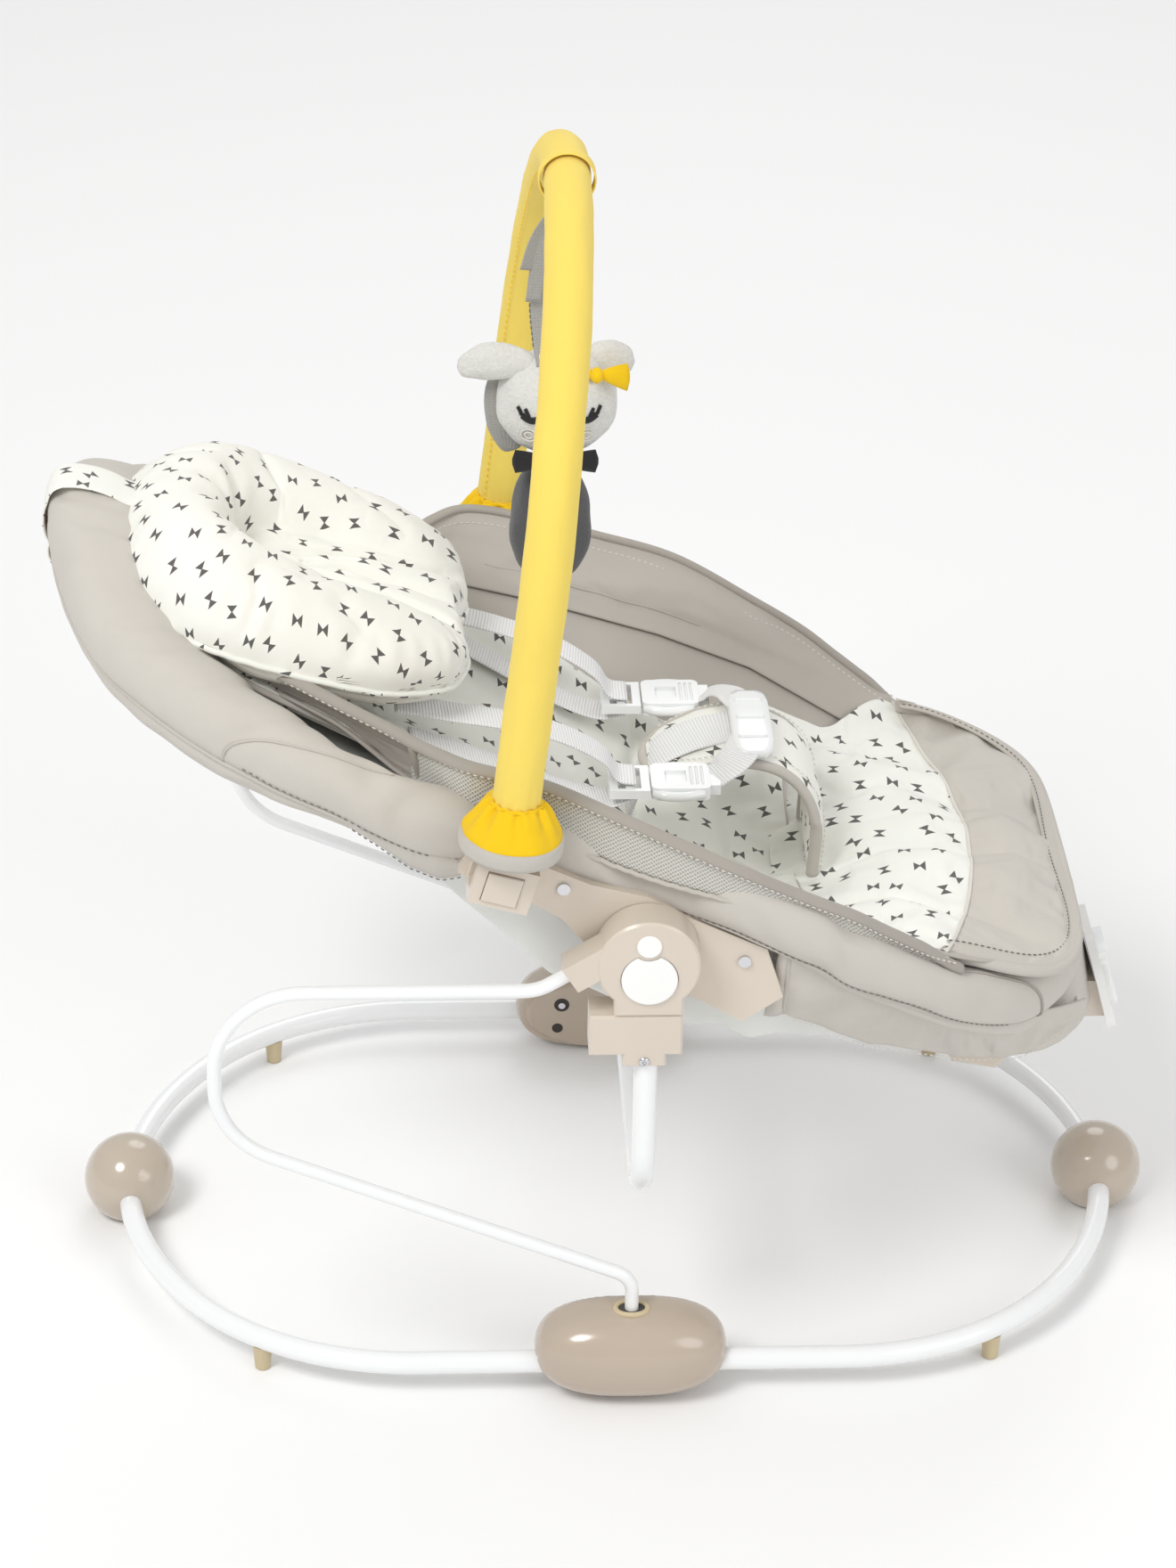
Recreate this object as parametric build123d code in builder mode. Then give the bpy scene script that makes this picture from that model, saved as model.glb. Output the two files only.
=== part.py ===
from build123d import *
import math
import os

os.makedirs("parts", exist_ok=True)

# ---------------------------------------------------------------- driving dimensions (mm)
# frame: +X foot end, +Y right side of the child, +Z up, floor at Z = 0
RING_A = 335.0            # base ring half length (tube centre line)
RING_B = 210.0            # base ring half width (tube centre line)
RING_Z = 23.0             # base ring tube centre height
RING_X1 = 140.0           # straight run of the base ring
RING_R1 = 186.5           # shoulder radius of the ring
TUBE_R = 7.5              # base tube outer radius
TUBE_WALL = 1.5
BALL_R = 31.0
BALL_Z = 25.0
BALL_SPLIT = 9.0
CAP_Y = 205.0             # capsule centre distance from the mid plane
CAP_Z = 31.0
CAP_L = 63.0              # capsule half length
CAP_R = 32.0              # capsule half height
CAP_WALL = 3.0
CAP_IN = 188.0            # inner flat face of the capsule
CAP_COVER = 191.0         # joint plane of the capsule cover
LEG_Y = 207.0             # plane of the spring legs
LEG_R = 4.5
LEG_PIVOT_Z = 30.0
HUB_X = 5.0
HUB_Z = 329.0
HUB_R = 32.0
HUB_OUT = 217.0
HUB_IN = 193.0
GEAR_R = 22.0
RAIL_OUT = 192.2
RAIL_IN = 182.0
BOLT_R = 6.0
BRACE_R = 7.5
BRACE_Z = 144.0
SOCK_X = -85.0
SOCK_Z = 390.0
SOCK_OUT = 222.0
SOCK_IN = 194.0
BAR_PX = -82.0            # toy bar hinge axis
BAR_PZ = 398.0
BAR_LEAN = 0.11
BAR_W = 208.0             # toy bar half width
BAR_R = 8.0
SLEEVE_R = 17.0
BAR_STRAIGHT = 160.0
CLEAR = 0.05              # radial running clearance of pins
GAP = 0.4                 # gap between parts that move past each other

STEEL_Y = (0, 1, 0)


def save(builder, label):
    builder.part.label = label
    export_step(builder.part, "parts/" + label + ".step")


def mirrored(source, label):
    with BuildPart() as other:
        mirror(source.part, about=Plane.XZ)
    save(other, label)
    return other


def pair(source, label):
    with BuildPart() as both:
        add(source.part)
        mirror(source.part, about=Plane.XZ)
    save(both, label)
    return both


def y_plane(x, y, z):
    # sketch plane across Y: local x = +X, local y = +Z, normal = -Y
    return Plane(origin=(x, y, z), x_dir=(1, 0, 0), z_dir=(0, -1, 0))


# ---------------------------------------------------------------- base ring
theta = math.radians(50.0)
RING_R2 = (RING_B - RING_R1 * (1 - math.cos(theta))) / math.cos(theta)
ring_end = RING_X1 + RING_R1 * math.sin(theta) + RING_R2 * (1 - math.sin(theta))
RING_SHIFT = RING_A - ring_end


def ring_path(start):
    with BuildLine(Plane.XY.offset(RING_Z)) as path:
        l1 = Line((start, -RING_B), (RING_X1 + RING_SHIFT, -RING_B))
        a1 = JernArc(l1 @ 1, l1 % 1, RING_R1, 50)
        a2 = JernArc(a1 @ 1, a1 % 1, RING_R2, 80)
        a3 = JernArc(a2 @ 1, a2 % 1, RING_R1, 50)
        Line(a3 @ 1, (start, RING_B))
    return path


ring_line = ring_path(20.0)
with BuildPart() as front_base_tube:
    with BuildSketch(Plane(origin=(20.0, -RING_B, RING_Z), z_dir=(1, 0, 0))):
        Circle(TUBE_R)
        Circle(TUBE_R - TUBE_WALL, mode=Mode.SUBTRACT)
    sweep(path=ring_line.line)
save(front_base_tube, "front_base_tube")
with BuildPart() as rear_base_tube:
    mirror(front_base_tube.part, about=Plane.YZ)
save(rear_base_tube, "rear_base_tube")

# clearance body along the whole ring, used to open the holes for the tube
with BuildPart() as ring_cut:
    with BuildSketch(Plane(origin=(20.0, -RING_B, RING_Z), z_dir=(1, 0, 0))):
        Circle(TUBE_R + 0.05)
    sweep(path=ring_line.line)

# ---------------------------------------------------------------- ball feet
with BuildPart() as ball_front_shell:
    with Locations((RING_A, 0, BALL_Z)):
        Sphere(BALL_R)
        Sphere(BALL_R - 3.0, mode=Mode.SUBTRACT)
    with Locations((RING_A, 0, BALL_SPLIT - 100)):
        Box(200, 200, 200, mode=Mode.SUBTRACT)
    add(ring_cut.part, mode=Mode.SUBTRACT)
save(ball_front_shell, "ball_front_shell")
with BuildPart() as ball_front_base:
    with Locations((RING_A, 0, BALL_Z)):
        Sphere(BALL_R)
    with Locations((RING_A, 0, -100)):
        Box(200, 200, 200, mode=Mode.SUBTRACT)
    with Locations((RING_A, 0, BALL_SPLIT + 100)):
        Box(200, 200, 200, mode=Mode.SUBTRACT)
    # saddle post that carries the tube inside the ball
    with Locations((RING_A, 0, 14.0)):
        Box(18, 30, 12)
    add(ring_cut.part, mode=Mode.SUBTRACT)
save(ball_front_base, "ball_front_base")
with BuildPart() as ball_rear_shell:
    mirror(ball_front_shell.part, about=Plane.YZ)
save(ball_rear_shell, "ball_rear_shell")
with BuildPart() as ball_rear_base:
    mirror(ball_front_base.part, about=Plane.YZ)
save(ball_rear_base, "ball_rear_base")

# ---------------------------------------------------------------- rubber pegs
peg_y = RING_B - RING_R1 + math.sqrt(RING_R1 ** 2 - (240.0 - RING_X1 - RING_SHIFT) ** 2)
with BuildPart() as peg_front_left:
    with Locations((240.0, -peg_y, 9.0)):
        Cone(5.0, 6.5, 18.0)
    add(ring_cut.part, mode=Mode.SUBTRACT)
save(peg_front_left, "peg_front_left")
mirrored(peg_front_left, "peg_front_right")
with BuildPart() as peg_rear_left:
    mirror(peg_front_left.part, about=Plane.YZ)
save(peg_rear_left, "peg_rear_left")
mirrored(peg_rear_left, "peg_rear_right")

# ---------------------------------------------------------------- side capsules
with BuildPart() as capsule_ovoid:
    Sphere(CAP_R)
    scale(by=(CAP_L / CAP_R, 1.0, 1.0))
with BuildPart() as hollow_ovoid:
    Sphere(CAP_R - CAP_WALL)
    scale(by=((CAP_L - CAP_WALL) / (CAP_R - CAP_WALL), 1.0, 1.0))
with BuildPart() as capsule_body:
    with Locations((0, -CAP_Y, CAP_Z)):
        add(capsule_ovoid.part)
    with Locations((0, -CAP_Y, -100)):
        Box(400, 200, 200, mode=Mode.SUBTRACT)
    with Locations((0, -CAP_IN + 100, CAP_Z)):
        Box(400, 200, 200, mode=Mode.SUBTRACT)
with BuildPart() as capsule_hollow:
    with Locations((0, -CAP_Y, CAP_Z)):
        add(hollow_ovoid.part)
    with Locations((0, -CAP_Y, CAP_WALL - 100)):
        Box(400, 200, 200, mode=Mode.SUBTRACT)
with BuildPart() as left_capsule_shell:
    add(capsule_body.part)
    add(capsule_hollow.part, mode=Mode.SUBTRACT)
    with Locations((0, -CAP_COVER + 100, CAP_Z)):
        Box(400, 200, 200, mode=Mode.SUBTRACT)
    # collars that hold the tube ends, standing on the floor of the shell
    with Locations((-30, -RING_B, RING_Z), (30, -RING_B, RING_Z)):
        Cylinder(10.5, 20.0, rotation=(0, 90, 0))
    with Locations((-30, -RING_B, 8.0), (30, -RING_B, 8.0)):
        Box(20.0, 8.0, 12.0)
    # post of the pivot pin on the outer wall
    with Locations((0, -225.0, LEG_PIVOT_Z)):
        Cylinder(8.0, 20.0, rotation=(90, 0, 0))
    with Locations((0, -RING_B, RING_Z)):
        Cylinder(TUBE_R + 0.05, 300.0, rotation=(0, 90, 0), mode=Mode.SUBTRACT)
    with Locations((0, -LEG_Y, LEG_PIVOT_Z)):
        Cylinder(10.0, 15.0, rotation=(90, 0, 0), mode=Mode.SUBTRACT)
    with Locations((0, -LEG_Y - 7.5 - 4.0, LEG_PIVOT_Z)):
        Cylinder(4.0, 8.0, rotation=(90, 0, 0), mode=Mode.SUBTRACT)
    # slot for the spring leg
    with Locations((0, -LEG_Y, 56.0)):
        Box(19.0, 12.0, 40.0, mode=Mode.SUBTRACT)
save(left_capsule_shell, "left_capsule_shell")
mirrored(left_capsule_shell, "right_capsule_shell")
with BuildPart() as left_capsule_cover:
    add(capsule_body.part)
    with Locations((0, -CAP_COVER - 100, CAP_Z)):
        Box(400, 200, 200, mode=Mode.SUBTRACT)
    with Locations((-30, -CAP_COVER + 1.5, 40.0), (30, -CAP_COVER + 1.5, 40.0)):
        Cylinder(2.6, 20.0, rotation=(90, 0, 0), mode=Mode.SUBTRACT)
    # bearing seat of the pivot pin
    with Locations((0, -CAP_COVER - 3.5, LEG_PIVOT_Z)):
        Cylinder(8.0, 7.0, rotation=(90, 0, 0))
    with Locations((0, -CAP_COVER - 3.0, LEG_PIVOT_Z)):
        Cylinder(4.0, 8.0, rotation=(90, 0, 0), mode=Mode.SUBTRACT)
save(left_capsule_cover, "left_capsule_cover")
mirrored(left_capsule_cover, "right_capsule_cover")
pin_out = LEG_Y + 7.5 + 8.0
pin_in = CAP_COVER - 1.0
with BuildPart() as left_pivot_pin:
    with Locations((0, -(pin_out + pin_in) / 2, LEG_PIVOT_Z)):
        Cylinder(4.0, pin_out - pin_in, rotation=(90, 0, 0))
pair(left_pivot_pin, "pivot_pins")
with BuildPart() as left_capsule_screws:
    with Locations((-30, -CAP_IN - 0.75, 40.0), (30, -CAP_IN - 0.75, 40.0)):
        Cylinder(2.5, 4.5, rotation=(90, 0, 0))
pair(left_capsule_screws, "capsule_screws")

# ---------------------------------------------------------------- spring legs
with BuildPart() as left_spring_leg:
    with BuildLine(y_plane(0, -LEG_Y, 0)) as leg_path:
        FilletPolyline((0, 36), (0, 87), (-264, 199), (-264, 307), (-63, 307), (-22.0, 333.0),
                       radius=[16, 57, 57, 30])
    with BuildSketch(Plane(origin=(0, -LEG_Y, 36), z_dir=(0, 0, 1))):
        Circle(LEG_R)
    sweep(path=leg_path.line)
    with Locations((0, -LEG_Y, LEG_PIVOT_Z)):
        Cylinder(9.0, 14.0, rotation=(90, 0, 0))
        Cylinder(4.0 + CLEAR, 20.0, rotation=(90, 0, 0), mode=Mode.SUBTRACT)
save(left_spring_leg, "left_spring_leg")
mirrored(left_spring_leg, "right_spring_leg")
with BuildPart() as leg_cut:
    with BuildLine(y_plane(0, -LEG_Y, 0)) as leg_end_path:
        FilletPolyline((-140, 307), (-63, 307), (-22.0, 333.0), radius=[30])
    with BuildSketch(Plane(origin=(-140, -LEG_Y, 307), z_dir=(1, 0, 0))):
        Circle(LEG_R + 0.05)
    sweep(path=leg_end_path.line)

# ---------------------------------------------------------------- hub housings
hub_mid = -(HUB_OUT + HUB_IN) / 2
hub_deep = HUB_OUT - HUB_IN
with BuildPart() as left_hub_housing:
    with BuildSketch(y_plane(0, -HUB_IN, 0)):
        with Locations((HUB_X, HUB_Z)):
            Circle(HUB_R)
        with Locations((5.5, 295)):
            Rectangle(43, 30)
        with Locations((-2, 279)):
            Rectangle(58, 29)
        with Locations((3.5, 260.5)):
            Rectangle(27, 9)
    extrude(amount=hub_deep)
    outer_edges = left_hub_housing.faces().sort_by(Axis.Y)[0].outer_wire().edges()
    chamfer(outer_edges, 1.5)
    # arm that holds the end of the spring leg
    with Locations(Location((-29, -LEG_Y, 328.5), (0, -32.4, 0))):
        Box(34, 19, 19)
    add(leg_cut.part, mode=Mode.SUBTRACT)
    # cavity of the toothed disc, open to the rail
    with Locations((HUB_X, -HUB_IN - 5.0, HUB_Z)):
        Cylinder(GEAR_R + 1.5, 10.0, rotation=(90, 0, 0), mode=Mode.SUBTRACT)
    # bore of the pivot bolt
    with Locations((HUB_X, -HUB_IN - 7.0, HUB_Z)):
        Cylinder(BOLT_R, 14.0, rotation=(90, 0, 0), mode=Mode.SUBTRACT)
    # pocket of the recline button and of the cap in the outer face
    with Locations((5.5, -HUB_OUT + 4.0, 320.5)):
        Cylinder(17.5 + GAP, 8.0, rotation=(90, 0, 0), mode=Mode.SUBTRACT)
    with Locations((5.0, -HUB_OUT + 4.0, 344.5)):
        Cylinder(10.0, 8.0, rotation=(90, 0, 0))
    with Locations((5.0, -HUB_OUT + 2.0, 344.5)):
        Cylinder(7.8, 4.0, rotation=(90, 0, 0), mode=Mode.SUBTRACT)
    # sockets of the cross brace and its screw
    with Locations((5.0, -LEG_Y, 264.0)):
        Cylinder(BRACE_R + 0.05, 24.0, mode=Mode.SUBTRACT)
    # groove between the neck and the foot of the housing
    with Locations((5.5, -HUB_OUT, 294.0)):
        Box(43, 2.0, 1.6, mode=Mode.SUBTRACT)
save(left_hub_housing, "left_hub_housing")
mirrored(left_hub_housing, "right_hub_housing")

with BuildPart() as left_hub_cap:
    with Locations((5.0, -HUB_OUT + 1.0, 344.5)):
        Cylinder(7.8, 5.0, rotation=(90, 0, 0))
    fillet(left_hub_cap.faces().sort_by(Axis.Y)[0].edges(), 1.2)
    with Locations((5.0, -HUB_OUT + 4.0, 344.5)):
        Box(40, 0.0001 + 1.0, 40, mode=Mode.SUBTRACT)
pair(left_hub_cap, "hub_caps")

# crescent button that is pressed in to change the recline
with BuildPart() as left_recline_button:
    with BuildSketch(y_plane(0, -HUB_OUT + 4.0, 0)):
        with Locations((5.5, 320.5)):
            Circle(17.5)
        with Locations((5.0, 344.5)):
            Circle(10.0 + GAP, mode=Mode.SUBTRACT)
    extrude(amount=6.0)
    fillet(left_recline_button.faces().sort_by(Axis.Y)[0].edges(), 1.2)
save(left_recline_button, "left_recline_button")
mirrored(left_recline_button, "right_recline_button")

# ---------------------------------------------------------------- cross brace
with BuildPart() as cross_brace:
    with BuildLine(Plane(origin=(5.0, 0, 0), x_dir=(0, 1, 0), z_dir=(1, 0, 0))) as brace_path:
        FilletPolyline((-LEG_Y, 274), (-LEG_Y, BRACE_Z), (LEG_Y, BRACE_Z), (LEG_Y, 274), radius=[42, 42])
    with BuildSketch(Plane(origin=(5.0, -LEG_Y, 274), z_dir=(0, 0, -1))):
        Circle(BRACE_R)
        Circle(BRACE_R - 1.5, mode=Mode.SUBTRACT)
    sweep(path=brace_path.line)
save(cross_brace, "cross_brace")

# ---------------------------------------------------------------- seat side rails
rail_deep = RAIL_OUT - RAIL_IN
with BuildPart() as left_side_rail:
    with BuildSketch(y_plane(0, -RAIL_IN, 0)):
        with BuildLine():
            Polyline((-112, 384), (-103, 402), (-60, 388), (-30, 374), (5, 365), (30, 350), (80, 326),
                     (91, 291), (66, 273), (34, 292), (5, 303), (-22, 318), (-48, 350), (-74, 366), close=True)
        make_face()
    extrude(amount=rail_deep)
    # lugs on the inner face that carry the ends of the seat tubes
    with Locations((-78, -177, 392)):
        Box(34, 14, 24)
    with Locations((60, -178, 333)):
        Box(26, 14, 54)
    with Locations((HUB_X, -(RAIL_OUT + RAIL_IN) / 2, HUB_Z)):
        Cylinder(BOLT_R + CLEAR, 40.0, rotation=(90, 0, 0), mode=Mode.SUBTRACT)
    # clevis socket of the toy bar on the outer face
    with Locations(Location((SOCK_X, -(SOCK_OUT + RAIL_OUT) / 2, SOCK_Z), (0, 16, 0))):
        Box(38, SOCK_OUT - RAIL_OUT, 29)
    with Locations((BAR_PX, -208.0, BAR_PZ + 3.0)):
        Box(90, 14.0 + 2 * GAP, 27.0, mode=Mode.SUBTRACT)
    with Locations((BAR_PX, -208.0, BAR_PZ)):
        Cylinder(11.0 + GAP, 14.0 + 2 * GAP, rotation=(90, 0, 0), mode=Mode.SUBTRACT)
        Cylinder(3.0, 22.0, rotation=(90, 0, 0), mode=Mode.SUBTRACT)
    # pocket of the release button
    with Locations(Location((SOCK_X - 0.5, -SOCK_OUT + 1.6, SOCK_Z - 0.5), (0, 16, 0))):
        Box(22 + 2 * GAP, 3.2, 20 + 2 * GAP, mode=Mode.SUBTRACT)
save(left_side_rail, "left_side_rail")
mirrored(left_side_rail, "right_side_rail")
with BuildPart() as left_bar_release:
    with Locations(Location((SOCK_X - 0.5, -SOCK_OUT - 0.2, SOCK_Z - 0.5), (0, 16, 0))):
        Box(22, 3.0, 20)
    fillet(left_bar_release.faces().sort_by(Axis.Y)[0].edges(), 0.8)
save(left_bar_release, "left_bar_release")
mirrored(left_bar_release, "right_bar_release")
with BuildPart() as left_rail_screws:
    with Locations((-47, -RAIL_OUT - 1.0, 372), (66, -RAIL_OUT - 1.0, 318)):
        Cylinder(4.0, 2.0, rotation=(90, 0, 0))
pair(left_rail_screws, "rail_screws")
with BuildPart() as left_bar_pin:
    with Locations((BAR_PX, -208.0, BAR_PZ)):
        Cylinder(3.0, 22.0, rotation=(90, 0, 0))
pair(left_bar_pin, "toy_bar_pins")

# pivot bolt, held in the hub, the rail turns on it
with BuildPart() as left_pivot_bolt:
    with Locations((HUB_X, -(HUB_IN + 14.0 + RAIL_IN - 0.5) / 2, HUB_Z)):
        Cylinder(BOLT_R, HUB_IN + 14.0 - RAIL_IN + 0.5, rotation=(90, 0, 0))
    with Locations((HUB_X, -RAIL_IN + 0.5 + 2.0, HUB_Z)):
        Cylinder(10.0, 4.0, rotation=(90, 0, 0))
pair(left_pivot_bolt, "pivot_bolts")

# toothed disc of the recline lock, turns with the rail inside the hub
with BuildPart() as left_recline_gear:
    with BuildSketch(y_plane(HUB_X, -RAIL_OUT, HUB_Z)):
        Circle(GEAR_R - 2.5)
        with PolarLocations(GEAR_R - 2.6, 24):
            Rectangle(5.0, 2.8)
        Circle(BOLT_R + CLEAR, mode=Mode.SUBTRACT)
    extrude(amount=9.0)
pair(left_recline_gear, "recline_gears")

# ---------------------------------------------------------------- seat frame tubes
back_dir = Vector(-0.905, 0, 0.425).normalized()
back_plane = Plane(origin=(-100, 0, 400), x_dir=(0, 1, 0), z_dir=Vector(0, 1, 0).cross(back_dir))
with BuildPart() as rear_seat_tube:
    with BuildLine(back_plane) as rear_path:
        FilletPolyline((-175, -38), (-165, 90), (-150, 175), (-95, 268), (95, 268), (150, 175), (165, 90), (175, -38),
                       radius=[300, 120, 70, 70, 120, 300])
    with BuildSketch(Plane(origin=rear_path.line @ 0, z_dir=rear_path.line % 0)):
        Circle(7.0)
        Circle(5.5, mode=Mode.SUBTRACT)
    sweep(path=rear_path.line)
save(rear_seat_tube, "rear_seat_tube")
front_dir = Vector(0.90, 0, -0.44).normalized()
front_plane = Plane(origin=(60, 0, 350), x_dir=(0, 1, 0), z_dir=Vector(0, 1, 0).cross(front_dir))
with BuildPart() as front_seat_tube:
    with BuildLine(front_plane) as front_path:
        FilletPolyline((-178, -20), (-180, 60), (-160, 160), (-92, 256), (92, 256), (160, 160), (180, 60), (178, -20),
                       radius=[200, 120, 70, 70, 120, 200])
    with BuildSketch(Plane(origin=front_path.line @ 0, z_dir=front_path.line % 0)):
        Circle(7.0)
        Circle(5.5, mode=Mode.SUBTRACT)
    sweep(path=front_path.line)
save(front_seat_tube, "front_seat_tube")

# ---------------------------------------------------------------- padded rim
# centre points, half thickness across, half height
RIM = [(-348, 0, 530, 18, 30), (-338, -62, 514, 18, 29), (-311, -110, 488, 17, 28), (-264, -146, 463, 16, 27),
       (-226, -158, 447, 16, 26), (-191, -166, 434, 15, 25), (-137, -170, 411, 15, 25), (-96, -171, 402, 15, 22),
       (-47, -172, 388, 14, 18), (2, -175, 371, 14, 17), (30, -180, 364, 14, 17), (59, -186, 355, 15, 18),
       (105, -187, 331, 15, 19), (131, -183, 312, 15, 21), (168, -174, 293, 15, 24), (206, -157, 270, 15, 27),
       (246, -126, 252, 15, 32), (275, -72, 244, 15, 38), (287, 0, 242, 15, 42)]


def rim_planes():
    out = []
    for i, (x, y, z, tn, th) in enumerate(RIM):
        if i == 0:
            t = Vector(0, -1, 0)
        elif i == len(RIM) - 1:
            t = Vector(0, 1, 0)
        else:
            a, b = RIM[i - 1], RIM[i + 1]
            t = Vector(b[0] - a[0], b[1] - a[1], 0).normalized()
        side = t.cross(Vector(0, 0, 1))
        out.append((Plane(origin=(x, y, z), x_dir=side, z_dir=t), tn, th))
    return out


with BuildPart() as left_rim_pad:
    for plane, tn, th in rim_planes():
        with BuildSketch(plane):
            Ellipse(tn, th)
    loft()
save(left_rim_pad, "left_rim_pad")
mirrored(left_rim_pad, "right_rim_pad")

# ---------------------------------------------------------------- side walls
WALL = [(-150, 137, 436, 449), (-125, 160, 436, 449), (-97, 180, 431, 447), (-54, 184, 414, 436), (-10, 196, 398, 419),
        (45, 201, 385, 396), (101, 195, 357, 366), (133, 188, 338, 346), (160, 181, 325, 331)]
with BuildPart() as left_side_wall:
    for x, y, z0, z1 in WALL:
        with BuildSketch(Plane(origin=(x, 0, 0), x_dir=(0, 1, 0), z_dir=(1, 0, 0))):
            with Locations((-y + 4, (z0 + z1) / 2)):
                Rectangle(6.0, z1 - z0)
    loft()
save(left_side_wall, "left_side_wall")
mirrored(left_side_wall, "right_side_wall")

# ---------------------------------------------------------------- hammock and seat pad
# station x, half width, edge height, bottom height
TROUGH = [(-292, 80, 474, 452), (-235, 122, 446, 424), (-150, 147, 412, 384), (-60, 150, 388, 338), (30, 158, 356, 272),
          (95, 164, 326, 252), (160, 152, 290, 254), (212, 124, 272, 255), (244, 86, 262, 252)]


with BuildPart() as hammock:
    for x, w, ze, zb in TROUGH:
        with BuildSketch(Plane(origin=(x, 0, 0), x_dir=(0, 1, 0), z_dir=(1, 0, 0))):
            with BuildLine():
                lo = ThreePointArc((-w, ze), (0, zb), (w, ze))
                hi = ThreePointArc((-w, ze + 6.0), (0, zb + 6.0), (w, ze + 6.0))
                Line(lo @ 0, hi @ 0)
                Line(lo @ 1, hi @ 1)
            make_face()
    loft()
save(hammock, "hammock")
PAD_LIFT = 10.0
PAD_THICK = 14.0
PAD_NARROW = 10.0
PAD_NARROW_HEAD = 28.0
with BuildPart() as seat_pad:
    for x, w, ze, zb in TROUGH:
        with BuildSketch(Plane(origin=(x, 0, 0), x_dir=(0, 1, 0), z_dir=(1, 0, 0))):
            hw = w - (PAD_NARROW if x > -200 else PAD_NARROW_HEAD)
            radius = (w * w + (ze - zb) ** 2) / (2 * (ze - zb))
            rise = radius - math.sqrt(radius * radius - hw * hw)
            z0 = zb + PAD_LIFT
            z1 = z0 + PAD_THICK
            with BuildLine():
                lo = ThreePointArc((-hw, z0 + rise), (0, z0), (hw, z0 + rise))
                hi = ThreePointArc((-hw, z1 + rise), (0, z1), (hw, z1 + rise))
                Line(lo @ 0, hi @ 0)
                Line(lo @ 1, hi @ 1)
            make_face()
    loft()
save(seat_pad, "seat_pad")

# ---------------------------------------------------------------- head pillow
pillow_up = Vector(0.287, 0, 0.958).normalized()
with BuildPart() as head_pillow:
    with BuildSketch(Plane(origin=(-217, 0, 478), x_dir=(0, 1, 0), z_dir=pillow_up)):
        Ellipse(112, 110)
    extrude(amount=50)
    fillet(head_pillow.edges(), 17)
save(head_pillow, "head_pillow")

# ---------------------------------------------------------------- crotch pad, webbing, harness
with BuildPart() as crotch_pad:
    with BuildSketch(y_plane(0, 34, 0)):
        with BuildLine() as saddle:
            FilletPolyline((122, 281), (126, 350), (84, 373), (20, 360), radius=[22, 40])
        trace(line_width=10)
    extrude(amount=68)
save(crotch_pad, "crotch_pad")
with BuildPart() as crotch_webbing:
    with BuildSketch(y_plane(0, 22, 0)):
        with BuildLine():
            FilletPolyline((60, 360.0), (36, 340), (18, 316), radius=[20])
        trace(line_width=2.0)
    extrude(amount=44)
save(crotch_webbing, "crotch_webbing")


def strap_plane(p, q):
    d = (Vector(*q) - Vector(*p)).normalized()
    side = d.cross(Vector(0, 0, 1)).normalized()
    return Plane(origin=p, x_dir=side, z_dir=d)


strap_a = (-112, -66, 424)
strap_b = (-16, -56, 369)
with BuildPart() as left_strap:
    with BuildSketch(strap_plane(strap_a, strap_b)):
        Rectangle(25, 5)
    extrude(amount=(Vector(*strap_b) - Vector(*strap_a)).length)
save(left_strap, "left_strap")
mirrored(left_strap, "right_strap")
adj_c = (0, -56, 368)
with BuildPart() as left_adjuster:
    with Locations(adj_c):
        Box(26, 33, 6)
        with Locations((-5, 0, 0), (5, 0, 0)):
            Box(5, 26, 8, mode=Mode.SUBTRACT)
pair(left_adjuster, "strap_adjusters")
with BuildPart() as left_buckle:
    with Locations((33, -56, 368)):
        Box(38, 33, 9)
    fillet(left_buckle.edges().filter_by(Axis.Z), 5)
    with Locations((54.5, -56, 368)):
        Box(8, 22, 7)
    with Locations((30, -56, 372.5)):
        Box(14, 14, 4, mode=Mode.SUBTRACT)
save(left_buckle, "left_buckle")
mirrored(left_buckle, "right_buckle")

# ---------------------------------------------------------------- vibration unit under the foot end
with BuildPart() as vibration_housing:
    with BuildSketch(y_plane(0, 62, 0)):
        with BuildLine():
            Polyline((208, 176), (220, 152), (250, 146), (268, 166), (290, 168), (290, 197.8), (262, 197.8), (252, 240),
                     (212, 240), close=True)
        make_face()
    extrude(amount=124)
    fillet(vibration_housing.faces().sort_by(Axis.Y)[0].outer_wire().edges(), 5)
    fillet(vibration_housing.faces().sort_by(Axis.Y)[-1].outer_wire().edges(), 5)
    with BuildSketch(y_plane(0, 33, 0)):
        with BuildLine():
            Polyline((280, 170), (325.5, 170), (317.3, 197.8), (280, 197.8), close=True)
        make_face()
    extrude(amount=66)
save(vibration_housing, "vibration_housing")
panel_n = Vector(0.96, 0, 0.28).normalized()
panel_plane = Plane(origin=(320.6, 0, 188), x_dir=(0, 1, 0), z_dir=panel_n)
with BuildPart() as vibration_panel:
    with BuildSketch(panel_plane):
        RectangleRounded(78, 72, 22)
    extrude(amount=6.0)
    with BuildSketch(panel_plane.offset(6.0)):
        with Locations((0, 20)):
            Circle(9.0 + GAP)
    extrude(amount=-4.0, mode=Mode.SUBTRACT)
    with BuildSketch(panel_plane.offset(6.0)):
        with Locations((0, -14)):
            Circle(16.0 + GAP)
    extrude(amount=-4.0, mode=Mode.SUBTRACT)
save(vibration_panel, "vibration_panel")
with BuildPart() as vibration_knob:
    with BuildSketch(panel_plane.offset(2.4)):
        with Locations((0, 20)):
            Circle(9.0)
    extrude(amount=10.0)
    with BuildSketch(panel_plane.offset(12.4)):
        with Locations((0, 24)):
            Rectangle(2.0, 6.0)
    extrude(amount=-1.0, mode=Mode.SUBTRACT)
save(vibration_knob, "vibration_knob")
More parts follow.
